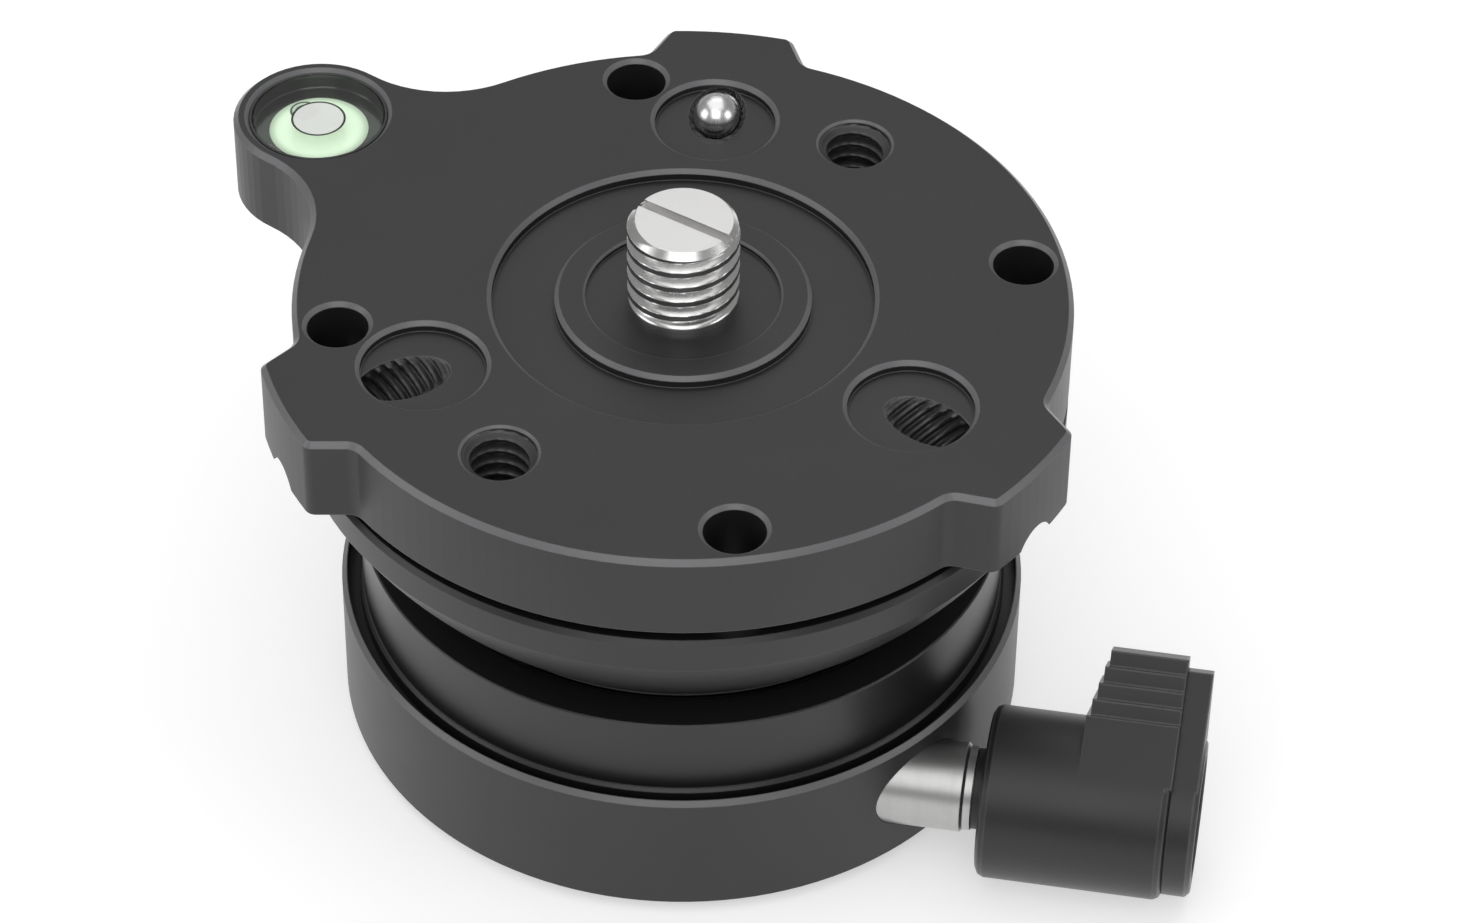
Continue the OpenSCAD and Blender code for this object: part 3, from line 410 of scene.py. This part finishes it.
def clear(name, tint):
    """A clear plastic window: nearly nothing face on, with a bright gloss at a slant."""
    f = Finish(bpy.data.materials.new(name))
    at = f.place()
    haze = f.noise(at, 1.2, 3.0)
    gloss = f.node("ShaderNodeBsdfPrincipled", None,
                   {"Base Color": (0.9, 0.9, 0.9, 1.0), "Roughness": 0.06 + haze * 0.05,
                    "Metallic": 1.0, "Normal": f.bump(haze, 0.004 * MM, 0.4)})
    slant = f.node("ShaderNodeLayerWeight", None, {"Blend": 0.5}, 1)
    share = 0.03 + f.math("POWER", slant, 5.0)
    through = f.node("ShaderNodeBsdfTransparent", None, {"Color": rgba(tint)})
    return f.end(f.node("ShaderNodeMixShader", None, {0: share, 1: through, 2: gloss}))


def bubble_skin(name, centre, radius):
    """The bubble in the level: clear, with painted shade for its dark outline and a painted highlight for the pale
    arc inside it.
    """
    f = Finish(bpy.data.materials.new(name))
    at = f.vector("SUBTRACT", f.place(), centre)
    flat = f.vector("LENGTH", f.vector("MULTIPLY", at, (1.0, 1.0, 0.0)), out=1)
    far = f.vector("DOT_PRODUCT", at, (-0.6, 0.8, 0.0), 1)
    haze = f.noise(at, 1.2, 3.0)
    # Painted shade: the dark outline where light bends at the bubble's edge
    painted_rim_shade = flat.band(radius * 0.78, radius * 0.93)
    # Painted highlight: a pale arc on the bubble's upper side
    arc = flat.band(radius * 0.62, radius * 0.74) * far.band(0.0, radius * 0.5) * (1 - painted_rim_shade)
    skin = f.node("ShaderNodeBsdfPrincipled", None, {
        "Base Color": f.mix(f.mix((0.42, 0.56, 0.4, 1.0), (0.03, 0.05, 0.03, 1.0), painted_rim_shade),
                        (0.85, 0.9, 0.84, 1.0), arc),
        "Roughness": 0.08 + haze * 0.06, "Metallic": 0.0,
        "Normal": f.bump(haze, 0.004 * MM, 0.4)})
    share = 0.5 + painted_rim_shade * 0.35 + arc * 0.4
    through = f.node("ShaderNodeBsdfTransparent", None, {"Color": (0.97, 1.0, 0.97, 1.0)})
    return f.end(f.node("ShaderNodeMixShader", None, {0: share, 1: through, 2: skin}))


def level_green(name, colour, centre, painted_shade_start, painted_shade_end):
    """The liquid seen through the window: pale green, with painted shade darkening it from one radius
    to another, in millimetres, towards the cup's wall, and a faint painted glow."""
    f = Finish(bpy.data.materials.new(name))
    at = f.vector("SUBTRACT", f.place(), centre)
    flat = f.vector("LENGTH", f.vector("MULTIPLY", at, (1.0, 1.0, 0.0)), out=1)
    cloud = f.noise(at, 0.5, 2.0)
    # Painted shade: darker green towards the cup's wall
    rim = flat.band(painted_shade_start, painted_shade_end)
    tone = f.mix(rgba(colour), (0.78, 0.86, 0.74, 1.0), cloud)
    tone = f.mix(tone, rgba(colour, 0.35), rim * 0.8)
    # The liquid glows faintly in its own colour: painted light
    return f.surface(
        Base_Color=tone, Emission_Color=tone, Emission_Strength=0.32,
        Roughness=0.25 + cloud * 0.1, Metallic=0.0,
        Normal=f.bump(cloud, 0.01 * MM, 0.2))


def frosted(name, colour, cover):
    """A pale print that lets a part of what lies behind it through, with a faint painted glow."""
    f = Finish(bpy.data.materials.new(name))
    cloud = f.noise(f.place(), 0.8, 2.0)
    # The print glows faintly in its own colour: painted light
    print_skin = f.node("ShaderNodeBsdfPrincipled", None, {
        "Base Color": f.mix(rgba(colour), rgba(colour, 0.9), cloud),
        "Emission Color": rgba(colour), "Emission Strength": 0.12,
        "Roughness": 0.3 + cloud * 0.1, "Metallic": 0.0})
    through = f.node("ShaderNodeBsdfTransparent", None, {"Color": (1.0, 1.0, 1.0, 1.0)})
    share = cover + (cloud - 0.5) * 0.1
    return f.end(f.node("ShaderNodeMixShader", None, {0: share, 1: through, 2: print_skin}))


def lattice(rows, loop=False):
    """Quads between rows of points, each row closed on itself. With loop the last row joins the
    first, and otherwise each end closes on its middle. A shape whose volume comes out below
    zero has its faces turned over, so that they point out of it."""
    if not loop:
        low, high = (np.broadcast_to(row.mean(0), row.shape)[None] for row in rows[[0, -1]])
        rows = np.concatenate([low, rows, high])
    n, m = rows.shape[:2]
    i, j = np.meshgrid(np.arange(n if loop else n - 1), np.arange(m), indexing="ij")
    after, side = (i + 1) % n, (j + 1) % m
    faces = np.stack([i * m + j, i * m + side, after * m + side, after * m + j], -1)
    points, faces = rows.reshape(-1, 3), faces.reshape(-1, 4)
    a, b, c, d = (points[faces[:, k]] for k in range(4))
    volume = (np.cross(a, b) * c).sum() + (np.cross(a, c) * d).sum()
    return points, (faces if volume > 0 else faces[:, ::-1])


def piece(name, shells, body, material, sharp=32, replaced=()):
    """One object from closed shells, each a pair of points and quads, with its poles merged. Edges
    stay sharp from an angle given in degrees."""
    points, faces, count = [], [], 0
    for shell_points, shell_faces in shells:
        points.append(shell_points)
        faces.append(shell_faces + count)
        count += len(shell_points)
    mesh = bpy.data.meshes.new(name)
    mesh.from_pydata(np.concatenate(points).tolist(), [], np.concatenate(faces).tolist())
    work = bmesh.new()
    work.from_mesh(mesh)
    bmesh.ops.remove_doubles(work, verts=work.verts, dist=MERGE)
    bmesh.ops.dissolve_degenerate(work, edges=work.edges, dist=MERGE)
    work.to_mesh(mesh)
    work.free()
    mesh.polygons.foreach_set("use_smooth", np.ones(len(mesh.polygons), bool))
    mesh.set_sharp_from_angle(angle=math.radians(sharp))
    mesh.materials.append(material)
    made = bpy.data.objects.new(name, mesh)
    bpy.context.scene.collection.objects.link(made)
    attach(made, body)
    if replaced:
        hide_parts(*replaced)


def ridge(turn, along, pitch, crest=0.2, root=0.25):
    """0 in a thread's root and 1 on its crest: a flank of even slope between two flats, carried
    round at one pitch a turn."""
    phase = np.mod(along / pitch - turn / (2 * np.pi), 1.0)
    return np.clip((np.abs(2 * phase - 1) - root) / (1 - root - crest), 0, 1)


def ramp(x, low, high):
    """0 below low and 1 above high, turning smoothly between them."""
    t = np.clip((x - low) / (high - low), 0, 1)
    return t * t * (3 - 2 * t)


def round_rows(radius, along, turn):
    """Rows of points at a radius and a place along Z for each turn round it."""
    radius, along, turn = np.broadcast_arrays(radius, along, turn)
    return np.stack([radius * np.cos(turn), radius * np.sin(turn), along], -1)


def circle(steps=ROUND):
    """A row of angles, evenly spaced round a whole turn."""
    return np.linspace(0, 2 * np.pi, steps, endpoint=False)[None]


def sleeve(low, high, hole, pitch, share, rise=18):
    """A thread inside a hole: a ring whose inner wall carries the ridges and whose outer wall
    lies just inside the hole. low and high give its ends for each turn round the hole, and rise
    is its rows to a pitch. The ridges grow from nothing over the first part of a pitch and sink
    to a tenth over the last."""
    play, skin, left = 0.02 * MM, 0.005 * MM, 0.1
    grow, sink = pitch * 0.8, pitch * 0.4
    turn = circle()
    low, high = (np.broadcast_to(np.asarray(end, float), turn.shape) for end in (low, high))
    count = int(np.ceil((high - low).max() / pitch * rise)) + 1
    level = np.linspace(low.min(), high.max(), count)[:, None]
    along = np.clip(level, low, high)
    fade = ramp(along - low, 0, grow) * (1 - ramp(along - high, -sink, 0) * (1 - left))
    ridges = ridge(turn, along, pitch, crest=0.25, root=0.2)
    inner = hole - play - pitch * share * fade * ridges
    rows = np.concatenate([round_rows(inner, along, turn),
                           round_rows(hole - skin, np.concatenate([high, low]), turn)])
    return lattice(rows, loop=True)


def moved(shell, matrix):
    """The same shell, carried to its place by a matrix."""
    points, faces = shell
    m = np.array(matrix)
    return points @ m[:3, :3].T + m[:3, 3], faces


def screw_matrix(sizes, angle):
    """From Z, outwards and down from the pocket's floor, onto a slanted set screw's axis."""
    at = Vector((sizes.place, 0, PLATE_TOP - sizes.pocket_depth))
    return (Matrix.Rotation(math.radians(angle), 4, "Z") @ Matrix.Translation(at)
            @ Matrix.Rotation(math.radians(90) + sizes.slope, 4, "Y"))


class HEAD_OT_finishes(bpy.types.Operator):
    """Makes every finish and gives the frame's own pieces theirs"""
    bl_idname = "head.finishes"
    bl_label = "Finishes"

    def execute(self, context):
        colours = context.scene.head_finishes
        steel = tuple(colours.steel)
        bubble = (BUBBLE_MIDDLE.x / MM, BUBBLE_MIDDLE.y / MM, 0.0)
        bubble_r = (BUBBLE_HIGH.x - BUBBLE_LOW.x) / 2 / MM
        cup = (CUP_MIDDLE.x / MM, CUP_MIDDLE.y / MM, 0.0)
        painted_shade_start, painted_shade_end = 3.4075, 4.5825
        made = {
            "anodised": anodised("anodised", tuple(colours.anodised), rough=0.4, turned=0.25,
                                 wear_and_highlight_gain=12.0, slant=1.0),
            # A darker copy of the anodised black for the ball and seat ring: painted shade from the plate above
            "anodised_ball": anodised("anodised_ball", shade(colours.anodised, 0.7), rough=0.33,
                                      turned=0.5),
            # A paler copy of the anodised black for the threads: painted light, so they show in the holes' shade
            "thread_black": anodised("thread_black", shade(colours.anodised, 1.4), rough=0.32,
                                     turned=0.0, reach=0.1, wear_and_highlight_gain=5.0, slant=0.5),
            # The knob's edges and ribs carry a wide painted highlight
            "knob_skin": anodised("knob_skin", tuple(colours.knob), rough=0.37, turned=0.0,
                                  reach=0.3, wear_and_highlight_gain=12.0),
            "vial_black": moulded("vial_black", (0.012, 0.012, 0.012), rough=0.22,
                                  grain_scale=3.0, depth=0.003, coat=0.3),
            "pad": moulded("pad", (0.022, 0.022, 0.022), rough=0.75, grain_scale=2.2,
                           depth=0.05),
            "liner": moulded("liner", (0.05, 0.05, 0.052), 0.5),
            "washer": moulded("washer", (0.015, 0.015, 0.015), 0.5),
            "stud": bright("stud", steel, 0.24, stain=0.12),
            "boss": bright("boss", shade(steel, 0.62), 0.36, SPINDLE_AXIS,
                           marks=0.3, stain=0.12),
            "plated": bright("plated", steel, 0.3, marks=0.3),
            "spindle": bright("spindle", steel, 0.22, SPINDLE_AXIS, marks=0.5),
            "polished": bright("polished", (0.74, 0.74, 0.75), 0.27, stain=0.1),
            "nickel": bright("nickel", (0.7, 0.7, 0.7), 0.34, stain=0.1, metal=0.4),
            "cast": bright("cast", (0.5, 0.5, 0.51), 0.42, marks=0.2, stain=0.5),
            "window": clear("window", (0.97, 1.0, 0.97)),
            "print": frosted("print", (0.8, 0.77, 0.79), cover=0.7),
            "bubble": bubble_skin("bubble", bubble, bubble_r),
            "green": level_green("green", tuple(colours.liquid), cup, painted_shade_start, painted_shade_end),
        }
        FINISHES.update(made)
        wanted = {
            "anodised": ["housing", "top_plate"],
            "anodised_ball": ["ball_bowl", "seat_ring"],
            "pad": ["base_pad"], "liner": ["seat_liner"], "washer": ["spindle_washer"],
            "boss": ["spindle_boss"], "spindle": ["lock_spindle", "knob_screw"],
            "plated": ["tripod_bushing", "seat_screws", "bracket_screws", "fulcrum_bracket",
                       "fulcrum_pin", "return_spring", "stud_washer", "stud_locknut",
                       "tie_bolt", "tie_nut", "disc_spring", "spindle_clip"],
            "cast": ["clamp_dome", "pull_lever"],
            "stud": ["camera_stud"], "knob_skin": ["knob_body", "knob_cap"],
            "nickel": list(SCREWS), "vial_black": ["vial_cup"],
            "green": ["vial_liquid"], "bubble": ["vial_bubble"], "window": ["vial_window"],
        }
        for finish, nodes in wanted.items():
            for node in nodes:
                NODES[node].data.materials.clear()
                NODES[node].data.materials.append(made[finish])
        return {"FINISHED"}


class HEAD_OT_stud(bpy.types.Operator):
    """Makes the camera stud with its thread and slot"""
    bl_idname = "head.stud"
    bl_label = "Camera stud"

    def execute(self, context):
        sizes = context.scene.head_threads
        radius = MOUNTS["camera_stud"]["dims"]["r_mm"] * MM
        # The thread starts below the plate's top and grows to its full depth just above it
        sunk, chamfer = 0.5 * MM, 0.56 * MM
        top, foot = STUD_HIGH.z, PLATE_TOP - sunk
        split = top - sizes.slot_depth
        depth = sizes.stud_pitch * sizes.thread_share * STUD_PART
        fade_start, fade_end = foot + 0.3 * MM, foot + 1.2 * MM
        row, overlap, skin = 0.07 * MM, 0.1 * MM, 0.005 * MM

        def threaded(turn, along):
            """The thread's radius: full size less its groove, held inside the top's chamfer."""
            groove = depth * ramp(along, fade_start, fade_end)
            free = radius - groove * (1 - ridge(turn, along, sizes.stud_pitch, crest=0.34, root=0.1))
            return np.minimum(free, radius - np.maximum(0, along - (top - chamfer)))

        # Up to the slot's floor: a plain shank with a chamfered end, and the thread on it
        turn = circle(120)
        low = np.append(np.arange(foot, split, row), split)[:, None]
        shank, shank_end, end_rise = radius - 0.31 * MM, radius - 0.7 * MM, 0.3 * MM
        tail = np.array([STUD_LOW.z, STUD_LOW.z + end_rise, foot, foot])[:, None]
        wide = np.array([shank_end, shank, shank, radius - 2 * skin])[:, None]
        lower = lattice(np.concatenate([
            round_rows(wide, tail, turn), round_rows(threaded(turn, low), low, turn)]))

        # Each half beside the slot: an arc of the thread closed by the slot's flat wall
        high = np.linspace(split - overlap, top, 22)[:, None]
        half = sizes.slot_width / 2
        start = np.arcsin(half / radius)
        arc = start + (np.pi - 2 * start) * np.linspace(0, 1, 72)[None]
        across = np.linspace(0, 1, 14)[None, 1:-1]
        halves = []
        for side in (0.0, math.pi):
            r = threaded(arc + side + sizes.slot_turn, high) - skin
            x, y = r * np.cos(arc), np.maximum(r * np.sin(arc), half)
            wall = x[:, -1:] + (x[:, :1] - x[:, -1:]) * across
            x, y = np.hstack([x, wall]), np.hstack([y, np.full_like(wall, half)])
            rows = np.stack([x, y, np.broadcast_to(high, x.shape)], -1)
            halves.append(moved(lattice(rows), Matrix.Rotation(sizes.slot_turn + side, 4, "Z")))
        piece("stud_thread", [lower] + halves, "ball", FINISHES["stud"],
              sharp=28, replaced=["camera_stud"])
        return {"FINISHED"}


class HEAD_OT_threads(bpy.types.Operator):
    """Makes the threads inside the tapped holes, the set screws' holes and the tripod socket"""
    bl_idname = "head.threads"
    bl_label = "Threads in the holes"

    def execute(self, context):
        sizes, screw = context.scene.head_threads, context.scene.head_set_screws
        # How far the threads stay from a tapped hole's rim and from the socket's two ends
        rim, mouth, end_gap = 0.05 * MM, 0.2 * MM, 0.1 * MM
        for name in ("tapped_hole_back", "tapped_hole_front"):
            mount = MOUNTS[name]
            x, y, z = mount["pos_m"]
            half = mount["dims"]["length_mm"] / 2 * MM
            ring = sleeve(z - half, z + half - rim, mount["dims"]["r_mm"] * MM,
                          sizes.tapped_pitch, sizes.thread_share)
            piece(name.replace("hole", "thread"),
                  [moved(ring, Matrix.Translation((x, y, 0)))], "ball",
                  FINISHES["thread_black"])
        socket = MOUNTS["tripod_socket"]["dims"]["r_mm"] * MM
        ring = sleeve(mouth, BUSHING_HIGH - end_gap, socket, sizes.stud_pitch, sizes.thread_share)
        piece("socket_thread", [ring], "base", FINISHES["plated"])
        # A slanted hole starts where its wall meets the pocket's level floor
        hole, play = screw.hole_d / 2, 0.02 * MM
        low = -hole * np.cos(circle()) / math.tan(screw.slope) + play
        ring = sleeve(low, screw.hole_depth, hole, screw.pitch, sizes.thread_share * SET_HOLE_PART)
        for name, angle in SCREWS.items():
            piece(name + "_thread", [moved(ring, screw_matrix(screw, angle))], "ball",
                  FINISHES["thread_black"])
        return {"FINISHED"}


class HEAD_OT_set_screws(bpy.types.Operator):
    """Makes the three set screws, each with a ball tip, a thread and a hexagon socket"""
    bl_idname = "head.set_screws"
    bl_label = "Set screws"

    def execute(self, context):
        sizes, screw = context.scene.head_threads, context.scene.head_set_screws
        ball, body = screw.ball_d / 2, screw.body_d / 2
        row, neck_step, chamfer = 0.045 * MM, 0.1 * MM, 0.5 * MM
        pole = 0.02
        lead, lead_share = 0.2 * MM, 1.08
        depth = screw.pitch * sizes.thread_share
        turn = circle()
        sixth = np.pi / 3
        hexagon = screw.flats / 2 / np.cos(np.mod(turn + sixth / 2, sixth) - sixth / 2)
        for name, angle in SCREWS.items():
            tip = screw.raised_tip if name == RAISED else screw.sunk_tip
            last = tip + screw.length
            # The ball stands on a neck, and the thread's ridges lie between those of its hole
            polar = np.linspace(pole, screw.neck_turn, 26)[:, None]
            dome = round_rows(ball * np.sin(polar), tip + ball - ball * np.cos(polar), turn)
            along = np.arange(tip + screw.neck_end, last, row)[:, None]
            neck = round_rows(ball * math.sin(screw.neck_turn), along[:1] - neck_step, turn)
            free = body - depth * (1 - ridge(turn, along + screw.pitch / 2, screw.pitch))
            edge = np.minimum(along - along[0], last - along) + body - chamfer
            barrel = round_rows(np.minimum(free, edge), along, turn)
            # The hexagon socket in the far end, with a lead round its mouth
            deep = np.array([last, last - lead, last - screw.flats])[:, None]
            socket = round_rows(hexagon * np.array([lead_share, 1.0, 1.0])[:, None], deep, turn)
            shell = lattice(np.concatenate([dome, neck, barrel, socket]))
            piece(name + "_steel", [moved(shell, screw_matrix(screw, angle))], name,
                  FINISHES["polished" if name == RAISED else "nickel"],
                  sharp=40, replaced=[name])
        return {"FINISHED"}


class HEAD_OT_vial(bpy.types.Operator):
    """Makes the vial's window, with the printed ring and the pale disc in it"""
    bl_idname = "head.vial"
    bl_label = "Vial"

    def execute(self, context):
        vial = context.scene.head_vial
        at = Matrix.Translation((CUP_MIDDLE.x, CUP_MIDDLE.y, 0))
        turn = circle()
        # A disc with a small lip, just clear of the liquid that it covers
        radius = (WINDOW_HIGH.x - WINDOW_LOW.x) / 2
        low, high = WINDOW_LOW.z + vial.gap, WINDOW_HIGH.z
        across = np.array([radius - vial.lip, radius, radius, radius - vial.lip])[:, None]
        level = np.array([low, low + vial.lip, high - vial.lip, high])[:, None]
        piece("vial_glass", [moved(lattice(round_rows(across, level, turn)), at)], "ball",
              FINISHES["window"], replaced=["vial_window"])
        # The ring's line is a flat oval in section, and the disc lies at the same depth
        height = CUP_HIGH.z - vial.print_depth
        line_rise, disc_rise, pole = 0.02 * MM, 0.01 * MM, 0.05 * MM
        angle = circle(16).T
        ring = round_rows(vial.ring_r + vial.line_r * np.cos(angle), height + line_rise * np.sin(angle),
                          turn)
        piece("vial_print", [moved(lattice(ring, loop=True), at)], "ball",
              FINISHES["vial_black"])
        wide = np.linspace(pole, vial.disc_r, 8)[:, None]
        disc = np.concatenate([round_rows(wide, height - disc_rise, turn),
                               round_rows(wide[::-1], height + disc_rise, turn)])
        piece("vial_target", [moved(lattice(disc), at)], "ball",
              FINISHES["print"])
        return {"FINISHED"}


def lamp(name, where, size, glow, target):
    """A soft square lamp that faces a point. Its glow is its brightness seen in a mirror."""
    data = bpy.data.lights.new(name, "AREA")
    data.shape, data.size, data.energy = "SQUARE", size, glow * math.pi * size * size
    made = bpy.data.objects.new(name, data)
    made.location = where
    made.rotation_euler = (Vector(where) - target).to_track_quat("Z", "Y").to_euler()
    bpy.context.scene.collection.objects.link(made)


class HEAD_OT_stage(bpy.types.Operator):
    """Makes the floor, the white surround, the lamps and the camera"""
    bl_idname = "head.stage"
    bl_label = "Stage"

    def execute(self, context):
        stage = context.scene.head_stage
        scene = context.scene
        corners = np.array([(-1, -1), (1, -1), (1, 1), (-1, 1)]) * FLOOR_HALF
        points = np.column_stack([corners, np.full(4, -FLOOR_GAP)])
        mesh = bpy.data.meshes.new("floor")
        mesh.from_pydata(points.tolist(), [], [(0, 1, 2, 3)])
        floor = bpy.data.objects.new("floor", mesh)
        scene.collection.objects.link(floor)
        # A pale matte floor that also glows, so that it looks nearly white
        f = Finish(bpy.data.materials.new("floor"))
        seen = f.node("ShaderNodeLightPath")
        mirrored = f.node("ShaderNodeLightPath", out=3)
        cloud = f.noise(f.place(), 0.02, 2.0)
        matte = f.node("ShaderNodeBsdfDiffuse", None,
                       {"Color": f.mix((0.6, 0.6, 0.6, 1), (0.63, 0.63, 0.63, 1), cloud)})
        shine = f.mix((0, 0, 0, 1), (1, 1, 1, 1), seen * 0.5 + mirrored * 0.7)
        glow = f.node("ShaderNodeEmission", None, {"Color": shine, "Strength": 1.0})
        mesh.materials.append(f.end(f.node("ShaderNodeAddShader", None, {0: matte, 1: glow})))

        # The room is white to the camera and lights the head by much less
        scene.world = bpy.data.worlds.new("room")
        room = Finish(scene.world)
        light = room.mix((stage.world_light,) * 3 + (1,), (1, 1, 1, 1),
                         room.node("ShaderNodeLightPath"))
        room.end(room.node("ShaderNodeBackground", None, {"Color": light, "Strength": 1.0}),
                 "ShaderNodeOutputWorld")

        for name, where, size, glow in LAMPS:
            lamp(name, where, size, glow, Vector((0, 0, stage.target)))

        # The camera looks down at the aim, rolled about its own line and turned round the head
        ahead = Vector((0, math.cos(stage.elevation), -math.sin(stage.elevation)))
        right = Vector((1, 0, 0))
        down = ahead.cross(right)
        cos_roll, sin_roll = math.cos(stage.roll), math.sin(stage.roll)
        right, down = cos_roll * right + sin_roll * down, cos_roll * down - sin_roll * right
        turn = Matrix.Rotation(stage.azimuth, 3, "Z")
        eye = turn @ (Vector(stage.aim) - ahead * stage.distance)
        axes = Matrix([turn @ right, turn @ -down, turn @ -ahead]).transposed()
        data = bpy.data.cameras.new("camera")
        sensor, near, far = 36, 0.01, 10
        data.lens, data.sensor_width = stage.lens, sensor
        data.clip_start, data.clip_end = near, far
        camera = bpy.data.objects.new("camera", data)
        camera.matrix_world = Matrix.Translation(eye) @ axes.to_4x4()
        scene.collection.objects.link(camera)
        scene.camera = camera
        scene.view_settings.view_transform = "Standard"
        return {"FINISHED"}


class HEAD_PT_panel(bpy.types.Panel):
    """Lists the sizes, the colours and the steps"""
    bl_idname = "HEAD_PT_panel"
    bl_label = "Leveling head"
    bl_space_type = "VIEW_3D"
    bl_region_type = "UI"
    bl_category = "Leveling head"

    def draw(self, context):
        for group in GROUPS:
            owner = getattr(context.scene, group)
            for key in owner.__annotations__:
                self.layout.prop(owner, key)
        for step in STEPS:
            self.layout.operator(step.bl_idname)


GROUPS = {"head_finishes": HeadFinishes, "head_threads": HeadThreads,
          "head_set_screws": HeadSetScrews, "head_vial": HeadVial, "head_stage": HeadStage}
STEPS = (HEAD_OT_stage, HEAD_OT_finishes, HEAD_OT_stud, HEAD_OT_threads, HEAD_OT_set_screws,
         HEAD_OT_vial)


def register():
    for kind in (*GROUPS.values(), *STEPS, HEAD_PT_panel):
        bpy.utils.register_class(kind)
    for name, kind in GROUPS.items():
        setattr(bpy.types.Scene, name, bpy.props.PointerProperty(type=kind))


def unregister():
    for name in GROUPS:
        delattr(bpy.types.Scene, name)
    for kind in reversed((*GROUPS.values(), *STEPS, HEAD_PT_panel)):
        bpy.utils.unregister_class(kind)


def main():
    register()
    for step in STEPS:
        group, name = step.bl_idname.split(".")
        getattr(getattr(bpy.ops, group), name)()


if __name__ == "__main__":
    main()
